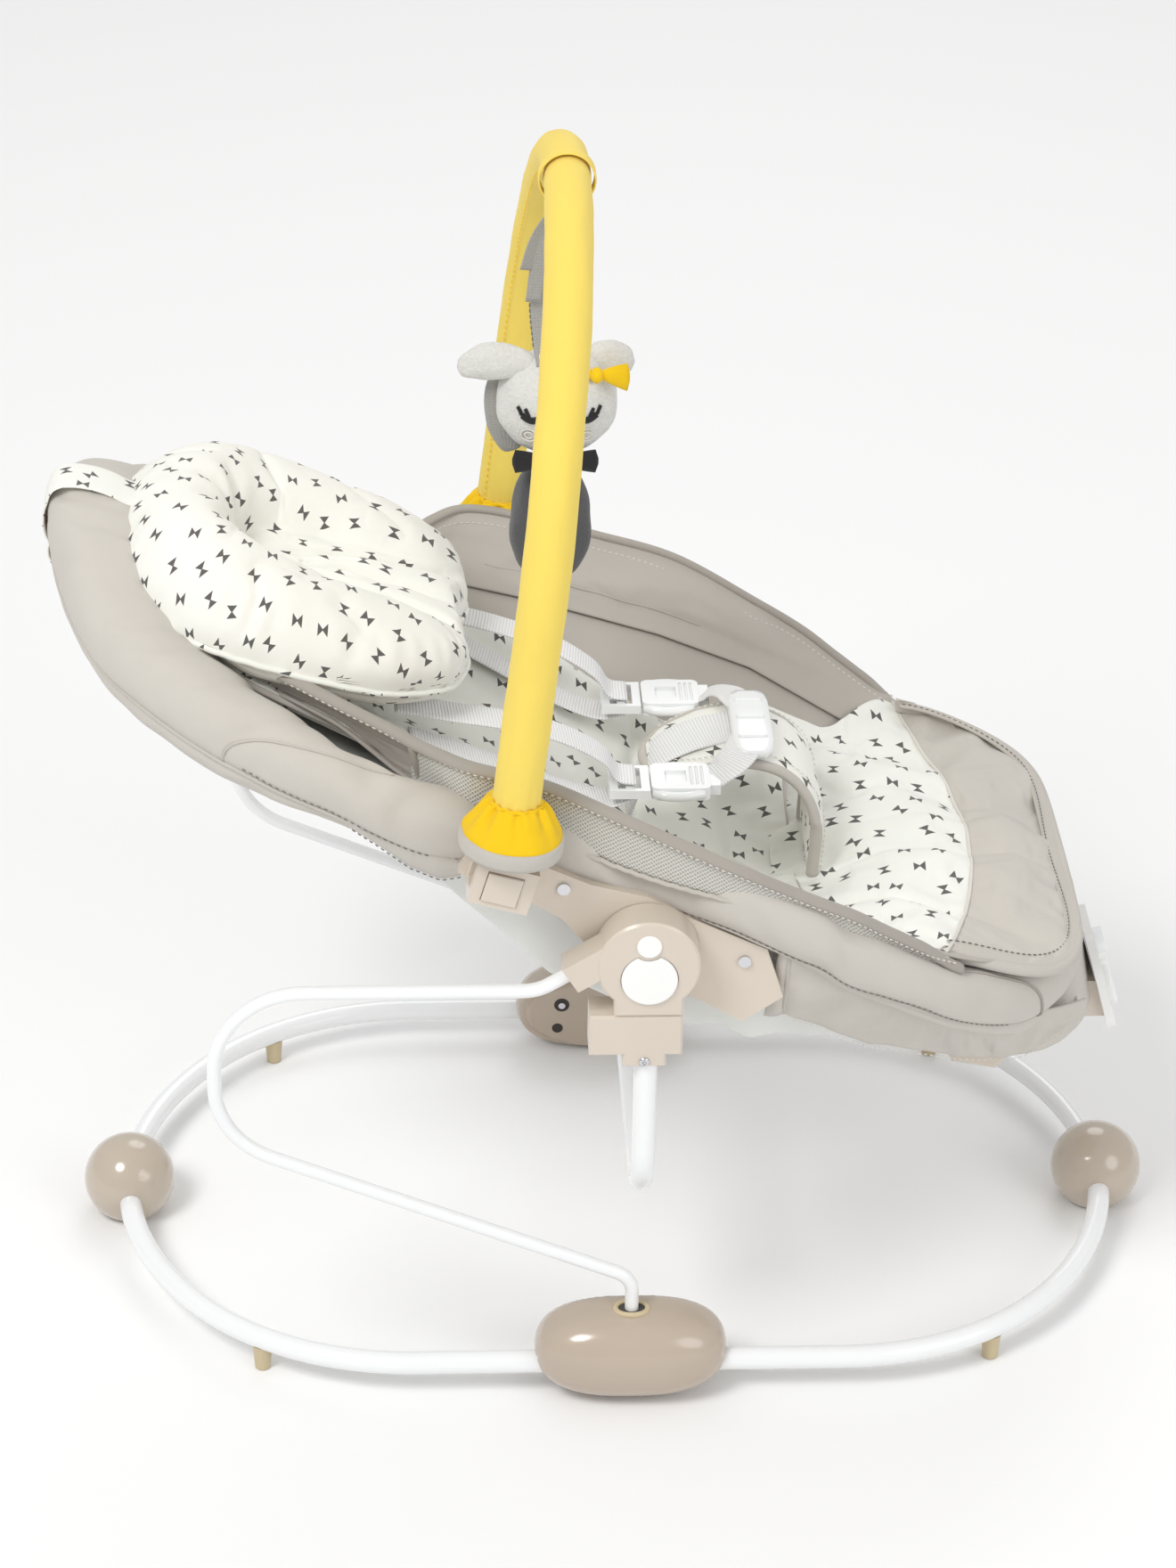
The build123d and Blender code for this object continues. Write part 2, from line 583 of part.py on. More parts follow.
with BuildPart() as vibration_button:
    with BuildSketch(panel_plane.offset(5.2)):
        with Locations((0, -14)):
            Circle(16.0)
    extrude(amount=6.0)
    fillet(vibration_button.faces().sort_by(Axis.X)[-1].edges(), 2.5)
save(vibration_button, "vibration_button")

# ---------------------------------------------------------------- toy bar
bar_up = Vector(BAR_LEAN, 0, 1).normalized()
bar_plane = Plane(origin=(BAR_PX, 0, BAR_PZ), x_dir=(0, 1, 0), z_dir=Vector(0, 1, 0).cross(bar_up))


def bar_path(start):
    with BuildLine(bar_plane) as path:
        l1 = Line((-BAR_W, start), (-BAR_W, BAR_STRAIGHT))
        arc = ThreePointArc((-BAR_W, BAR_STRAIGHT), (0, BAR_STRAIGHT + BAR_W), (BAR_W, BAR_STRAIGHT))
        Line(arc @ 1, (BAR_W, start))
    return path


hoop_line = bar_path(24.0)
with BuildPart() as toy_bar_tube:
    with BuildSketch(Plane(origin=bar_plane.from_local_coords((-BAR_W, 24.0, 0)), z_dir=bar_up)):
        Circle(BAR_R)
        Circle(BAR_R - 1.5, mode=Mode.SUBTRACT)
    sweep(path=hoop_line.line)
save(toy_bar_tube, "toy_bar_tube")
sleeve_line = bar_path(44.0)
with BuildPart() as toy_bar_sleeve:
    with BuildSketch(Plane(origin=bar_plane.from_local_coords((-BAR_W, 44.0, 0)), z_dir=bar_up)):
        Circle(SLEEVE_R)
        Circle(BAR_R + 0.4, mode=Mode.SUBTRACT)
    sweep(path=sleeve_line.line)
save(toy_bar_sleeve, "toy_bar_sleeve")
with BuildPart() as left_bar_knuckle:
    with Locations((BAR_PX, -208.0, BAR_PZ)):
        Cylinder(11.0, 14.0, rotation=(90, 0, 0))
    with BuildSketch(Plane(origin=(BAR_PX, -208.0, BAR_PZ), x_dir=(0, 1, 0), z_dir=bar_up)):
        Rectangle(14.0, 14.0)
    extrude(amount=23.6)
    with BuildSketch(Plane(origin=bar_plane.from_local_coords((-BAR_W, 23.0, 0)), x_dir=(0, 1, 0), z_dir=bar_up)):
        Circle(BAR_R - 1.6)
    extrude(amount=20.0)
    with Locations((BAR_PX, -208.0, BAR_PZ)):
        Cylinder(3.0 + CLEAR, 40.0, rotation=(90, 0, 0), mode=Mode.SUBTRACT)
pair(left_bar_knuckle, "toy_bar_knuckles")
with BuildPart() as left_skirt:
    with BuildSketch(Plane(origin=bar_plane.from_local_coords((-BAR_W, 0, 0)), x_dir=bar_plane.z_dir,
                           z_dir=bar_plane.x_dir * -1)):
        with BuildLine():
            Polyline((29.0, 16.5), (27.0, 16.5), (13.0, 43.6), (17.0, 43.6), (22.0, 34.0), close=True)
        make_face()
    revolve(axis=Axis(bar_plane.from_local_coords((-BAR_W, 0, 0)), bar_up), revolution_arc=360)
    with Locations((BAR_PX, -188.0 + 100, 430)):
        Box(200, 200, 200, mode=Mode.SUBTRACT)
pair(left_skirt, "toy_bar_skirts")

# ---------------------------------------------------------------- hanging toy
top = bar_plane.from_local_coords((0, BAR_STRAIGHT + BAR_W, 0))
TOY_X = -47.0
with BuildPart() as toy_strap:
    with BuildSketch(y_plane(top.X, 10, top.Z)):
        Circle(SLEEVE_R + 2.4)
        Circle(SLEEVE_R + 0.4, mode=Mode.SUBTRACT)
    extrude(amount=20)
    with Locations((TOY_X, 0, (top.Z - SLEEVE_R - 1.0 + 650.0) / 2)):
        Box(2.4, 20, top.Z - SLEEVE_R - 1.0 - 650.0)
save(toy_strap, "toy_strap")
with BuildPart() as toy_head_ball:
    Sphere(38.0)
    scale(by=(1.0, 0.71, 1.0))
with BuildPart() as toy_head:
    with Locations((TOY_X, 0, 612)):
        add(toy_head_ball.part)
save(toy_head, "toy_head")
with BuildPart() as toy_body:
    with BuildSketch(Plane(origin=(-50, 0, 530), x_dir=(0, 0, 1), z_dir=(0, 1, 0))):
        Ellipse(42, 24)
        with Locations((0, -50)):
            Rectangle(200, 100, mode=Mode.SUBTRACT)
    revolve(axis=Axis((-50, 0, 530), (0, 0, 1)), revolution_arc=360)
    with Locations((TOY_X, 0, 612)):
        Sphere(39.0, mode=Mode.SUBTRACT)
save(toy_body, "toy_body")
with BuildPart() as toy_ears:
    for ear_x in (-94.0, 0.0):
        with BuildSketch(Plane(origin=(ear_x, 0, 632), x_dir=(1, 0, 0), z_dir=(0, 0, 1))):
            Ellipse(20, 6)
            with Locations((0, -50)):
                Rectangle(200, 100, mode=Mode.SUBTRACT)
        revolve(axis=Axis((ear_x, 0, 632), (1, 0, 0)), revolution_arc=360)
    with Locations((TOY_X, 0, 612)):
        Sphere(38.6, mode=Mode.SUBTRACT)
save(toy_ears, "toy_ears")
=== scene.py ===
import bpy, bmesh, math
import numpy as np
import mathutils
import mathutils.kdtree
import mathutils.bvhtree
from mathutils import Vector, Matrix, noise as mnoise


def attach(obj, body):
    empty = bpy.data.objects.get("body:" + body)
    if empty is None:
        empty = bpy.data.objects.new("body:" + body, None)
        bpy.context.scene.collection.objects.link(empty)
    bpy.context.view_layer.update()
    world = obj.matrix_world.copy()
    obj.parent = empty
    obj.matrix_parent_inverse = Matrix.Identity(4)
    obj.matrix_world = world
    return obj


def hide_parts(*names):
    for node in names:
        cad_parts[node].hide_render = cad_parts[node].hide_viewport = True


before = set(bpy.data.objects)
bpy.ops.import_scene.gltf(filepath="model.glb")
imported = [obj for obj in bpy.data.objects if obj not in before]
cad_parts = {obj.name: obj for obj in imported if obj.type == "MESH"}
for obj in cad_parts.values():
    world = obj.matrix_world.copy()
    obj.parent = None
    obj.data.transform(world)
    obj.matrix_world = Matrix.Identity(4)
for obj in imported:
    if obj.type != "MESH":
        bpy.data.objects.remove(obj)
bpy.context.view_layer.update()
scene = bpy.context.scene
MM = 0.001

# ================================================================ numeric helpers (mm)
def arr(*p):
    return np.array(p, dtype=float)

def catmull(P, n, closed=False):
    P = np.asarray(P, float)
    m = len(P)
    if closed:
        Q = np.vstack([P[-1], P, P[0], P[1]])
        segs = m
    else:
        Q = np.vstack([2 * P[0] - P[1], P, 2 * P[-1] - P[-2]])
        segs = m - 1
    dense = []
    for s in range(segs):
        p0, p1, p2, p3 = Q[s], Q[s + 1], Q[s + 2], Q[s + 3]
        for t in np.linspace(0, 1, 40, endpoint=False):
            t2, t3 = t * t, t * t * t
            dense.append(0.5 * ((2 * p1) + (-p0 + p2) * t + (2 * p0 - 5 * p1 + 4 * p2 - p3) * t2
                                + (-p0 + 3 * p1 - 3 * p2 + p3) * t3))
    dense.append(P[0] if closed else P[-1])
    D = np.array(dense)
    L = np.concatenate([[0], np.cumsum(np.linalg.norm(np.diff(D[:, :3], axis=0), axis=1))])
    want = np.linspace(0, L[-1], n + (1 if closed else 0))
    out = np.stack([np.interp(want, L, D[:, k]) for k in range(D.shape[1])], -1)
    return out[:-1] if closed else out

def lerp_table(T, x):
    T = np.asarray(T, float)
    return [np.interp(x, T[:, 0], T[:, k]) for k in range(1, T.shape[1])]

def nz(x, y=0.0, z=0.0):
    return mnoise.noise(Vector((x, y, z)))

def smooth(e0, e1, x):
    t = np.clip((x - e0) / (e1 - e0), 0, 1)
    return t * t * (3 - 2 * t)

def unit(v):
    v = np.asarray(v, float)
    n = np.linalg.norm(v, axis=-1, keepdims=True)
    n[n == 0] = 1
    return v / n

# ================================================================ materials
def lin(r, g, b):
    def f(c):
        c = c / 255.0
        return c / 12.92 if c <= 0.04045 else ((c + 0.055) / 1.055) ** 2.4
    return (f(r), f(g), f(b), 1.0)

def shade(c, k):
    return (min(1, c[0] * k), min(1, c[1] * k), min(1, c[2] * k), 1.0)

class Mat:
    def __init__(self, name):
        self.m = bpy.data.materials.new(name)
        self.m.use_nodes = True
        self.t = self.m.node_tree
        self.b = self.t.nodes["Principled BSDF"]

    def n(self, kind, **kw):
        node = self.t.nodes.new(kind)
        for k, v in kw.items():
            setattr(node, k, v)
        return node

    def link(self, a, b):
        self.t.links.new(a, b)

    def math(self, op, a, b=None, c=None):
        node = self.n("ShaderNodeMath", operation=op)
        for i, v in enumerate((a, b, c)):
            if v is None:
                continue
            if isinstance(v, (int, float)):
                node.inputs[i].default_value = v
            else:
                self.link(v, node.inputs[i])
        return node.outputs[0]

    def obj(self):
        return self.n("ShaderNodeTexCoord").outputs["Object"]

    def uv(self):
        return self.n("ShaderNodeTexCoord").outputs["UV"]

    def noise(self, vec, scale, detail=3.0, rough=0.55):
        t = self.n("ShaderNodeTexNoise")
        t.inputs["Scale"].default_value = scale
        t.inputs["Detail"].default_value = detail
        t.inputs["Roughness"].default_value = rough
        self.link(vec, t.inputs["Vector"])
        return t.outputs["Fac"]

    def wave(self, vec, scale, direction="X", dist=0.0):
        t = self.n("ShaderNodeTexWave", bands_direction=direction)
        t.inputs["Scale"].default_value = scale
        t.inputs["Distortion"].default_value = dist
        self.link(vec, t.inputs["Vector"])
        return t.outputs["Fac"]

    def mix(self, fac, a, b):
        node = self.n("ShaderNodeMix", data_type="RGBA")
        if isinstance(fac, (int, float)):
            node.inputs[0].default_value = fac
        else:
            self.link(fac, node.inputs[0])
        for sock, v in ((node.inputs[6], a), (node.inputs[7], b)):
            if isinstance(v, tuple):
                sock.default_value = v
            else:
                self.link(v, sock)
        return node.outputs[2]

    def remap(self, v, lo, hi):
        node = self.n("ShaderNodeMapRange")
        self.link(v, node.inputs["Value"])
        node.inputs["To Min"].default_value = lo
        node.inputs["To Max"].default_value = hi
        return node.outputs["Result"]

    def bump(self, h, strength, dist=0.001):
        node = self.n("ShaderNodeBump")
        node.inputs["Strength"].default_value = strength
        node.inputs["Distance"].default_value = dist
        self.link(h, node.inputs["Height"])
        self.link(node.outputs["Normal"], self.b.inputs["Normal"])

    def set(self, **kw):
        for k, v in kw.items():
            self.b.inputs[k.replace("_", " ")].default_value = v

def fabric(name, rgb, rough=0.85, weave=1100.0, wstr=0.25, var=0.10, sheen=0.25, blotch=28.0):
    M = Mat(name)
    base = lin(*rgb)
    o = M.obj()
    u = M.uv()
    big = M.noise(o, blotch, 4.0)
    fine = M.noise(o, 2600.0, 2.0)
    col = M.mix(M.remap(big, 0.0, 1.0), shade(base, 1 - var), shade(base, 1 + var * 0.7))
    col = M.mix(M.math("MULTIPLY", fine, 0.22), col, shade(base, 0.72))
    M.link(col, M.b.inputs["Base Color"])
    M.link(M.remap(fine, rough - 0.08, min(1.0, rough + 0.1)), M.b.inputs["Roughness"])
    wv = M.math("ADD", M.wave(u, weave, "X"), M.wave(u, weave, "Y"))
    h = M.math("ADD", M.math("MULTIPLY", wv, 0.5), M.math("MULTIPLY", fine, 0.8))
    M.bump(h, wstr, 0.0006)
    M.set(Sheen_Weight=sheen, Sheen_Roughness=0.45, Specular_IOR_Level=0.3)
    return M.m

def print_fabric(name, rgb, ink, pitch=0.0225, size=0.0038):
    M = Mat(name)
    base, dark = lin(*rgb), lin(*ink)
    o = M.obj()
    u = M.uv()
    sep = M.n("ShaderNodeSeparateXYZ")
    sc = M.n("ShaderNodeVectorMath", operation="SCALE")
    sc.inputs["Scale"].default_value = 1.0 / pitch
    M.link(u, sc.inputs[0])
    M.link(sc.outputs[0], sep.inputs[0])
    row = M.math("FLOOR", sep.outputs[1])
    odd = M.math("MULTIPLY", M.math("MODULO", M.math("ABSOLUTE", row), 2.0), 0.5)
    x2 = M.math("ADD", sep.outputs[0], odd)
    cell = M.math("FLOOR", x2)
    cv = M.n("ShaderNodeCombineXYZ")
    M.link(cell, cv.inputs[0])
    M.link(row, cv.inputs[1])
    wn = M.n("ShaderNodeTexWhiteNoise", noise_dimensions="2D")
    M.link(cv.outputs[0], wn.inputs["Vector"])
    rc = M.n("ShaderNodeSeparateColor")
    M.link(wn.outputs["Color"], rc.inputs[0])
    lx = M.math("SUBTRACT", M.math("SUBTRACT", x2, cell), M.math("MULTIPLY_ADD", rc.outputs[0], 0.42, 0.29))
    ly = M.math("SUBTRACT", M.math("SUBTRACT", sep.outputs[1], row), M.math("MULTIPLY_ADD", rc.outputs[1], 0.42, 0.29))
    lv = M.n("ShaderNodeCombineXYZ")
    M.link(M.math("MULTIPLY", lx, pitch), lv.inputs[0])
    M.link(M.math("MULTIPLY", ly, pitch), lv.inputs[1])
    rot = M.n("ShaderNodeVectorRotate", rotation_type="Z_AXIS")
    M.link(lv.outputs[0], rot.inputs["Vector"])
    M.link(M.math("MULTIPLY_ADD", rc.outputs[2], 2.3, -0.35), rot.inputs["Angle"])
    s2 = M.n("ShaderNodeSeparateXYZ")
    M.link(rot.outputs[0], s2.inputs[0])
    ax, ay = M.math("ABSOLUTE", s2.outputs[0]), M.math("ABSOLUTE", s2.outputs[1])
    inside = M.math("MULTIPLY", M.math("LESS_THAN", ax, size),
                    M.math("LESS_THAN", ay, M.math("MULTIPLY_ADD", ax, 0.98, 0.0004)))
    big = M.noise(o, 26.0, 4.0)
    fine = M.noise(o, 2600.0, 2.0)
    cloth_col = M.mix(M.remap(big, 0.0, 1.0), shade(base, 0.95), shade(base, 1.05))
    ink_col = M.mix(fine, dark, shade(dark, 1.7))
    M.link(M.mix(inside, cloth_col, ink_col), M.b.inputs["Base Color"])
    M.link(M.remap(fine, 0.78, 0.95), M.b.inputs["Roughness"])
    wv = M.math("ADD", M.wave(u, 1200.0, "X"), M.wave(u, 1200.0, "Y"))
    M.bump(M.math("ADD", M.math("MULTIPLY", wv, 0.5), fine), 0.22, 0.0005)
    M.set(Sheen_Weight=0.2, Sheen_Roughness=0.5, Specular_IOR_Level=0.28, Subsurface_Weight=0.04)
    return M.m

def webbing(name, rgb):
    M = Mat(name)
    base = lin(*rgb)
    u = M.uv()
    ribs = M.wave(u, 150.0, "X")
    cross = M.wave(u, 420.0, "Y")
    fine = M.noise(M.obj(), 2400.0, 2.0)
    col = M.mix(M.remap(ribs, 0.0, 1.0), shade(base, 0.80), shade(base, 1.04))
    col = M.mix(M.math("MULTIPLY", fine, 0.25), col, shade(base, 0.8))
    M.link(col, M.b.inputs["Base Color"])
    M.link(M.remap(fine, 0.6, 0.85), M.b.inputs["Roughness"])
    M.bump(M.math("ADD", ribs, M.math("MULTIPLY", cross, 0.4)), 0.5, 0.0008)
    M.set(Sheen_Weight=0.15, Specular_IOR_Level=0.35)
    return M.m

def knit_mesh(name, rgb, back):
    M = Mat(name)
    u = M.uv()
    mp = M.n("ShaderNodeMapping")
    mp.inputs["Rotation"].default_value = (0, 0, 0.785)
    M.link(u, mp.inputs["Vector"])
    a = M.wave(mp.outputs[0], 140.0, "X")
    b = M.wave(mp.outputs[0], 140.0, "Y")
    h = M.math("MAXIMUM", a, b)
    col = M.mix(M.remap(M.math("POWER", h, 2.0), 0, 1), lin(*back), lin(*rgb))
    M.link(col, M.b.inputs["Base Color"])
    M.link(M.remap(M.noise(M.obj(), 1800.0), 0.7, 0.9), M.b.inputs["Roughness"])
    M.bump(h, 0.6, 0.0012)
    M.set(Sheen_Weight=0.15)
    return M.m

def plastic(name, rgb, rough=0.3, coat=0.25, var=0.05, grain=900.0, gstr=0.06, alpha=None, trans=0.0):
    M = Mat(name)
    base = lin(*rgb)
    o = M.obj()
    big = M.noise(o, 14.0, 3.0)
    fine = M.noise(o, grain, 2.0)
    M.link(M.mix(M.remap(big, 0, 1), shade(base, 1 - var), shade(base, 1 + var)), M.b.inputs["Base Color"])
    M.link(M.remap(fine, rough - 0.05, rough + 0.09), M.b.inputs["Roughness"])
    M.bump(fine, gstr, 0.0004)
    M.set(Coat_Weight=coat, Coat_Roughness=0.15, Specular_IOR_Level=0.5)
    if trans:
        M.set(Transmission_Weight=trans, IOR=1.45)
    return M.m

def metal(name, rgb, rough=0.2):
    M = Mat(name)
    base = lin(*rgb)
    fine = M.noise(M.obj(), 700.0, 3.0)
    M.link(M.mix(fine, shade(base, 0.9), shade(base, 1.05)), M.b.inputs["Base Color"])
    M.link(M.remap(fine, rough - 0.06, rough + 0.1), M.b.inputs["Roughness"])
    M.bump(fine, 0.05, 0.0003)
    M.set(Metallic=1.0)
    return M.m

def plush(name, rgb, scale=420.0, strength=0.9, sheen=0.6):
    M = Mat(name)
    base = lin(*rgb)
    o = M.obj()
    fur = M.noise(o, scale, 5.0, 0.7)
    big = M.noise(o, 60.0, 3.0)
    col = M.mix(M.remap(fur, 0, 1), shade(base, 0.70), shade(base, 1.12))
    col = M.mix(M.math("MULTIPLY", big, 0.3), col, shade(base, 0.85))
    M.link(col, M.b.inputs["Base Color"])
    M.link(M.remap(fur, 0.85, 1.0), M.b.inputs["Roughness"])
    M.bump(fur, strength, 0.002)
    M.set(Sheen_Weight=sheen, Sheen_Roughness=0.6, Specular_IOR_Level=0.15)
    return M.m

GREY = fabric("grey_cloth", (203, 198, 190), var=0.04, sheen=0.12)
GREY_IN = fabric("grey_cloth_inner", (186, 180, 172), var=0.05, sheen=0.1)
BIND = fabric("grey_binding", (170, 164, 156), weave=900, var=0.08, sheen=0.12)
BIND_LT = fabric("grey_binding_light", (197, 192, 184), weave=900, var=0.07, sheen=0.12)
LINING = fabric("white_lining", (232, 233, 229), var=0.05, weave=800)
PRINT = print_fabric("print_cloth", (240, 239, 232), (84, 81, 79))
WEB = webbing("white_webbing", (244, 244, 244))
KNIT = knit_mesh("white_knit", (216, 215, 208), (170, 166, 158))
YELLOW = fabric("yellow_cloth", (245, 218, 104), var=0.04, weave=1000, sheen=0.15)
YELLOW_D = fabric("yellow_cloth_deep", (241, 199, 22), var=0.07, weave=1000, sheen=0.12)
BEIGE = plastic("beige_moulded", (210, 199, 185), rough=0.30, coat=0.2)
BEIGE_G = plastic("beige_gloss", (188, 175, 159), rough=0.15, coat=0.7, gstr=0.03)
BEIGE_C = plastic("beige_capsule", (183, 168, 152), rough=0.18, coat=0.6, gstr=0.03)
WHITE_P = plastic("white_moulded", (240, 240, 238), rough=0.28, coat=0.3)
WHITE_T = plastic("white_lacquer", (238, 239, 240), rough=0.16, coat=0.7, gstr=0.03, var=0.02)
CLEAR = plastic("milky_plastic", (238, 240, 240), rough=0.22, coat=0.5)
RUBBER = plastic("beige_rubber", (200, 184, 150), rough=0.55, coat=0.0, gstr=0.2)
CHROME = metal("screw_chrome", (215, 215, 218), 0.16)
THREAD = fabric("thread_pale", (225, 221, 214), var=0.05, weave=4000)
THREAD_D = fabric("thread_dark", (118, 111, 104), var=0.05, weave=4000)
PLUSH_G = plush("toy_grey", (176, 176, 174), 300.0, 0.6, 0.3)
PLUSH_W = plush("toy_white", (236, 236, 232), 420.0, 0.9, 0.3)
FELT = plush("toy_felt", (74, 75, 78), 700.0, 0.5, 0.3)
BLACK = fabric("toy_black", (38, 38, 40), var=0.1)
TOYRIB = fabric("toy_ribbon", (166, 165, 162), var=0.1, weave=160, wstr=0.7)
# near-black brown: painted shade inside the shallow pilot-hole wells
PAINTED_SHADE_PIT = plastic("painted_shade_well", (58, 52, 47), rough=0.75, coat=0.0)
# dark grey-brown: painted shade filling the opening where the leg enters the capsule
PAINTED_SHADE_GAP = plastic("painted_shade_gap", (70, 66, 62), rough=0.7, coat=0.0)

# ================================================================ mesh helpers
SHEETS = {}

def make(name, V, F, mat, body="seat", uv=None, slot=None, smooth_faces=True, replaces=(), padded=None):
    me = bpy.data.meshes.new(name)
    V = np.asarray(V, float) * MM
    me.from_pydata([tuple(v) for v in V], [], [tuple(int(i) for i in f) for f in F])
    if uv is not None:
        layer = me.uv_layers.new(name="UVMap")
        layer.data.foreach_set("uv", np.asarray(uv, float).reshape(-1))
    mats = mat if isinstance(mat, (list, tuple)) else [mat]
    for m in mats:
        me.materials.append(m)
    if smooth_faces:
        me.polygons.foreach_set("use_smooth", [True] * len(me.polygons))
    me.update()
    ob = bpy.data.objects.new(name, me)
    scene.collection.objects.link(ob)
    ob["rides"] = body
    ob["slot_name"] = slot or ""
    PIECES.append((ob, body, slot, tuple(replaces), padded))
    return ob

PIECES = []

def grid_faces(nu, nv, cu=False, cv=False):
    F = []
    for i in range(nu if cu else nu - 1):
        i2 = (i + 1) % nu
        for j in range(nv if cv else nv - 1):
            j2 = (j + 1) % nv
            F.append((i * nv + j, i2 * nv + j, i2 * nv + j2, i * nv + j2))
    return F

def grid_uv(P, cu=False, cv=False):
    nu, nv = P.shape[:2]
    Q = np.concatenate([P, P[:1]], 0) if cu else P
    R = np.concatenate([P, P[:, :1]], 1) if cv else P
    mid = nv // 2
    du = np.linalg.norm(np.diff(Q, axis=0), axis=2).mean(1)
    u = np.concatenate([[0], np.cumsum(du)]) * MM
    dv = np.linalg.norm(np.diff(R, axis=1), axis=2)
    UV = []
    v = np.concatenate([np.zeros((nu, 1)), np.cumsum(dv, axis=1)], 1) * MM
    v = v - v[:, [mid]]
    if cu:
        v = np.concatenate([v, v[:1]], 0)
    for i in range(nu if cu else nu - 1):
        for j in range(nv if cv else nv - 1):
            UV += [(u[i], v[i, j]), (u[i + 1], v[i + 1, j]), (u[i + 1], v[i + 1, j + 1]), (u[i], v[i, j + 1])]
    return UV

def grid(name, P, mat, cu=False, cv=False, flip=False, sheet=None, **kw):
    nu, nv = P.shape[:2]
    if sheet:
        # the cut's flat size, from the lengths along and across the panel
        lu = np.linalg.norm(np.diff(P, axis=0), axis=2).sum(0)
        lv = np.linalg.norm(np.diff(P, axis=1), axis=2).sum(1)
        d1, d2 = P[1:, 1:] - P[:-1, :-1], P[1:, :-1] - P[:-1, 1:]
        ar = 0.5 * np.linalg.norm(np.cross(d1, d2), axis=2).sum()
        fw, fl = float(lu.max()), float(lv.max())
        SHEETS[name] = (round(fw * MM, 3), round(fl * MM, 3), round(min(ar, fw * fl * 0.999) * MM * MM, 5), sheet[0], list(sheet[1]))
    F = grid_faces(nu, nv, cu, cv)
    UV = grid_uv(P, cu, cv)
    if flip:
        F = [f[::-1] for f in F]
        UV = [UV[4 * k + i] for k in range(len(F)) for i in (3, 2, 1, 0)]
    return make(name, P.reshape(-1, 3), F, mat, uv=UV, **kw)

def frames_along(C, closed=False, up=(0, 0, 1)):
    C = np.asarray(C, float)
    T = np.empty_like(C)
    if closed:
        T = np.roll(C, -1, 0) - np.roll(C, 1, 0)
    else:
        T[1:-1] = C[2:] - C[:-2]
        T[0] = C[1] - C[0]
        T[-1] = C[-1] - C[-2]
    T = unit(T)
    up = np.asarray(up, float)
    S = np.empty_like(C)
    U = np.empty_like(C)
    prev = None
    for i, t in enumerate(T):
        s = np.cross(t, up)
        if np.linalg.norm(s) < 0.12:
            s = prev if prev is not None else np.cross(t, (1, 0, 0))
        s = s - t * s.dot(t)
        s = s / np.linalg.norm(s)
        if prev is not None and s.dot(prev) < 0:
            s = -s
        S[i] = s
        U[i] = np.cross(s, t)
        prev = s
    return T, S, U

def tube(name, C, r, mat, closed=False, seg=10, flat=1.0, up=(0, 0, 1), caps=True, **kw):
    C = np.asarray(C, float)
    T, S, U = frames_along(C, closed, up)
    R = np.broadcast_to(np.asarray(r, float), (len(C),))
    a = np.linspace(0, 2 * np.pi, seg, endpoint=False)
    P = C[:, None] + R[:, None, None] * (np.cos(a)[None, :, None] * S[:, None] + flat * np.sin(a)[None, :, None] * U[:, None])
    if not closed and caps:
        P = np.concatenate([C[None, :1] + 0 * P[:1] + (P[:1] - C[None, :1]) * 0.02 - 0.3 * R[0] * T[0], P,
                            C[-1][None, None] + (P[-1:] - C[-1]) * 0.02 + 0.3 * R[-1] * T[-1]], 0)
        P[0] = C[0] - 0.3 * R[0] * T[0] + (P[1] - C[0]) * 0.02
    return grid(name, P, mat, cu=closed, cv=True, flip=True, **kw)

def stitches(name, C, N, mat=None, pitch=4.2, length=2.7, r=0.42, lift=0.25, **kw):
    C = np.asarray(C, float)
    L = np.concatenate([[0], np.cumsum(np.linalg.norm(np.diff(C, axis=0), axis=1))])
    n = max(2, int(L[-1] / pitch))
    V, F = [], []
    N = np.broadcast_to(np.asarray(N, float), C.shape)
    for k in range(n):
        s0 = (k + 0.15) * pitch
        ring = []
        for q, rr, h in ((0.0, 0.35, -0.2), (0.2, 0.95, 0.7), (0.5, 1.0, 1.0), (0.8, 0.95, 0.7), (1.0, 0.35, -0.2)):
            s = min(s0 + q * length, L[-1])
            p = np.array([np.interp(s, L, C[:, i]) for i in range(3)])
            p2 = np.array([np.interp(min(s + 0.4, L[-1] + 0.4), np.append(L, L[-1] + 1), np.append(C[:, i], 2 * C[-1, i] - C[-2, i])) for i in range(3)])
            nn = np.array([np.interp(s, L, N[:, i]) for i in range(3)])
            t = p2 - p
            t = t / (np.linalg.norm(t) + 1e-9)
            nn = nn - t * nn.dot(t)
            nn = nn / (np.linalg.norm(nn) + 1e-9)
            sd = np.cross(t, nn)
            base = p + nn * (lift + h * r * 0.6)
            ring.append([base + rr * r * (math.cos(a) * sd + math.sin(a) * nn) for a in np.linspace(0, 2 * np.pi, 6, endpoint=False)])
        b = len(V)
        for rg in ring:
            V += rg
        for i in range(4):
            for j in range(6):
                j2 = (j + 1) % 6
                F.append((b + i * 6 + j, b + i * 6 + j2, b + (i + 1) * 6 + j2, b + (i + 1) * 6 + j))
        F.append(tuple(b + j for j in reversed(range(6))))
        F.append(tuple(b + 24 + j for j in range(6)))
    return make(name, V, F, mat or THREAD, **kw)

def strap_sheet(ob, L_, w_, held, on):
    SHEETS[ob.name] = (round(float(L_) * MM, 3), round(float(w_) * MM, 3), 0.0, held, list(on))

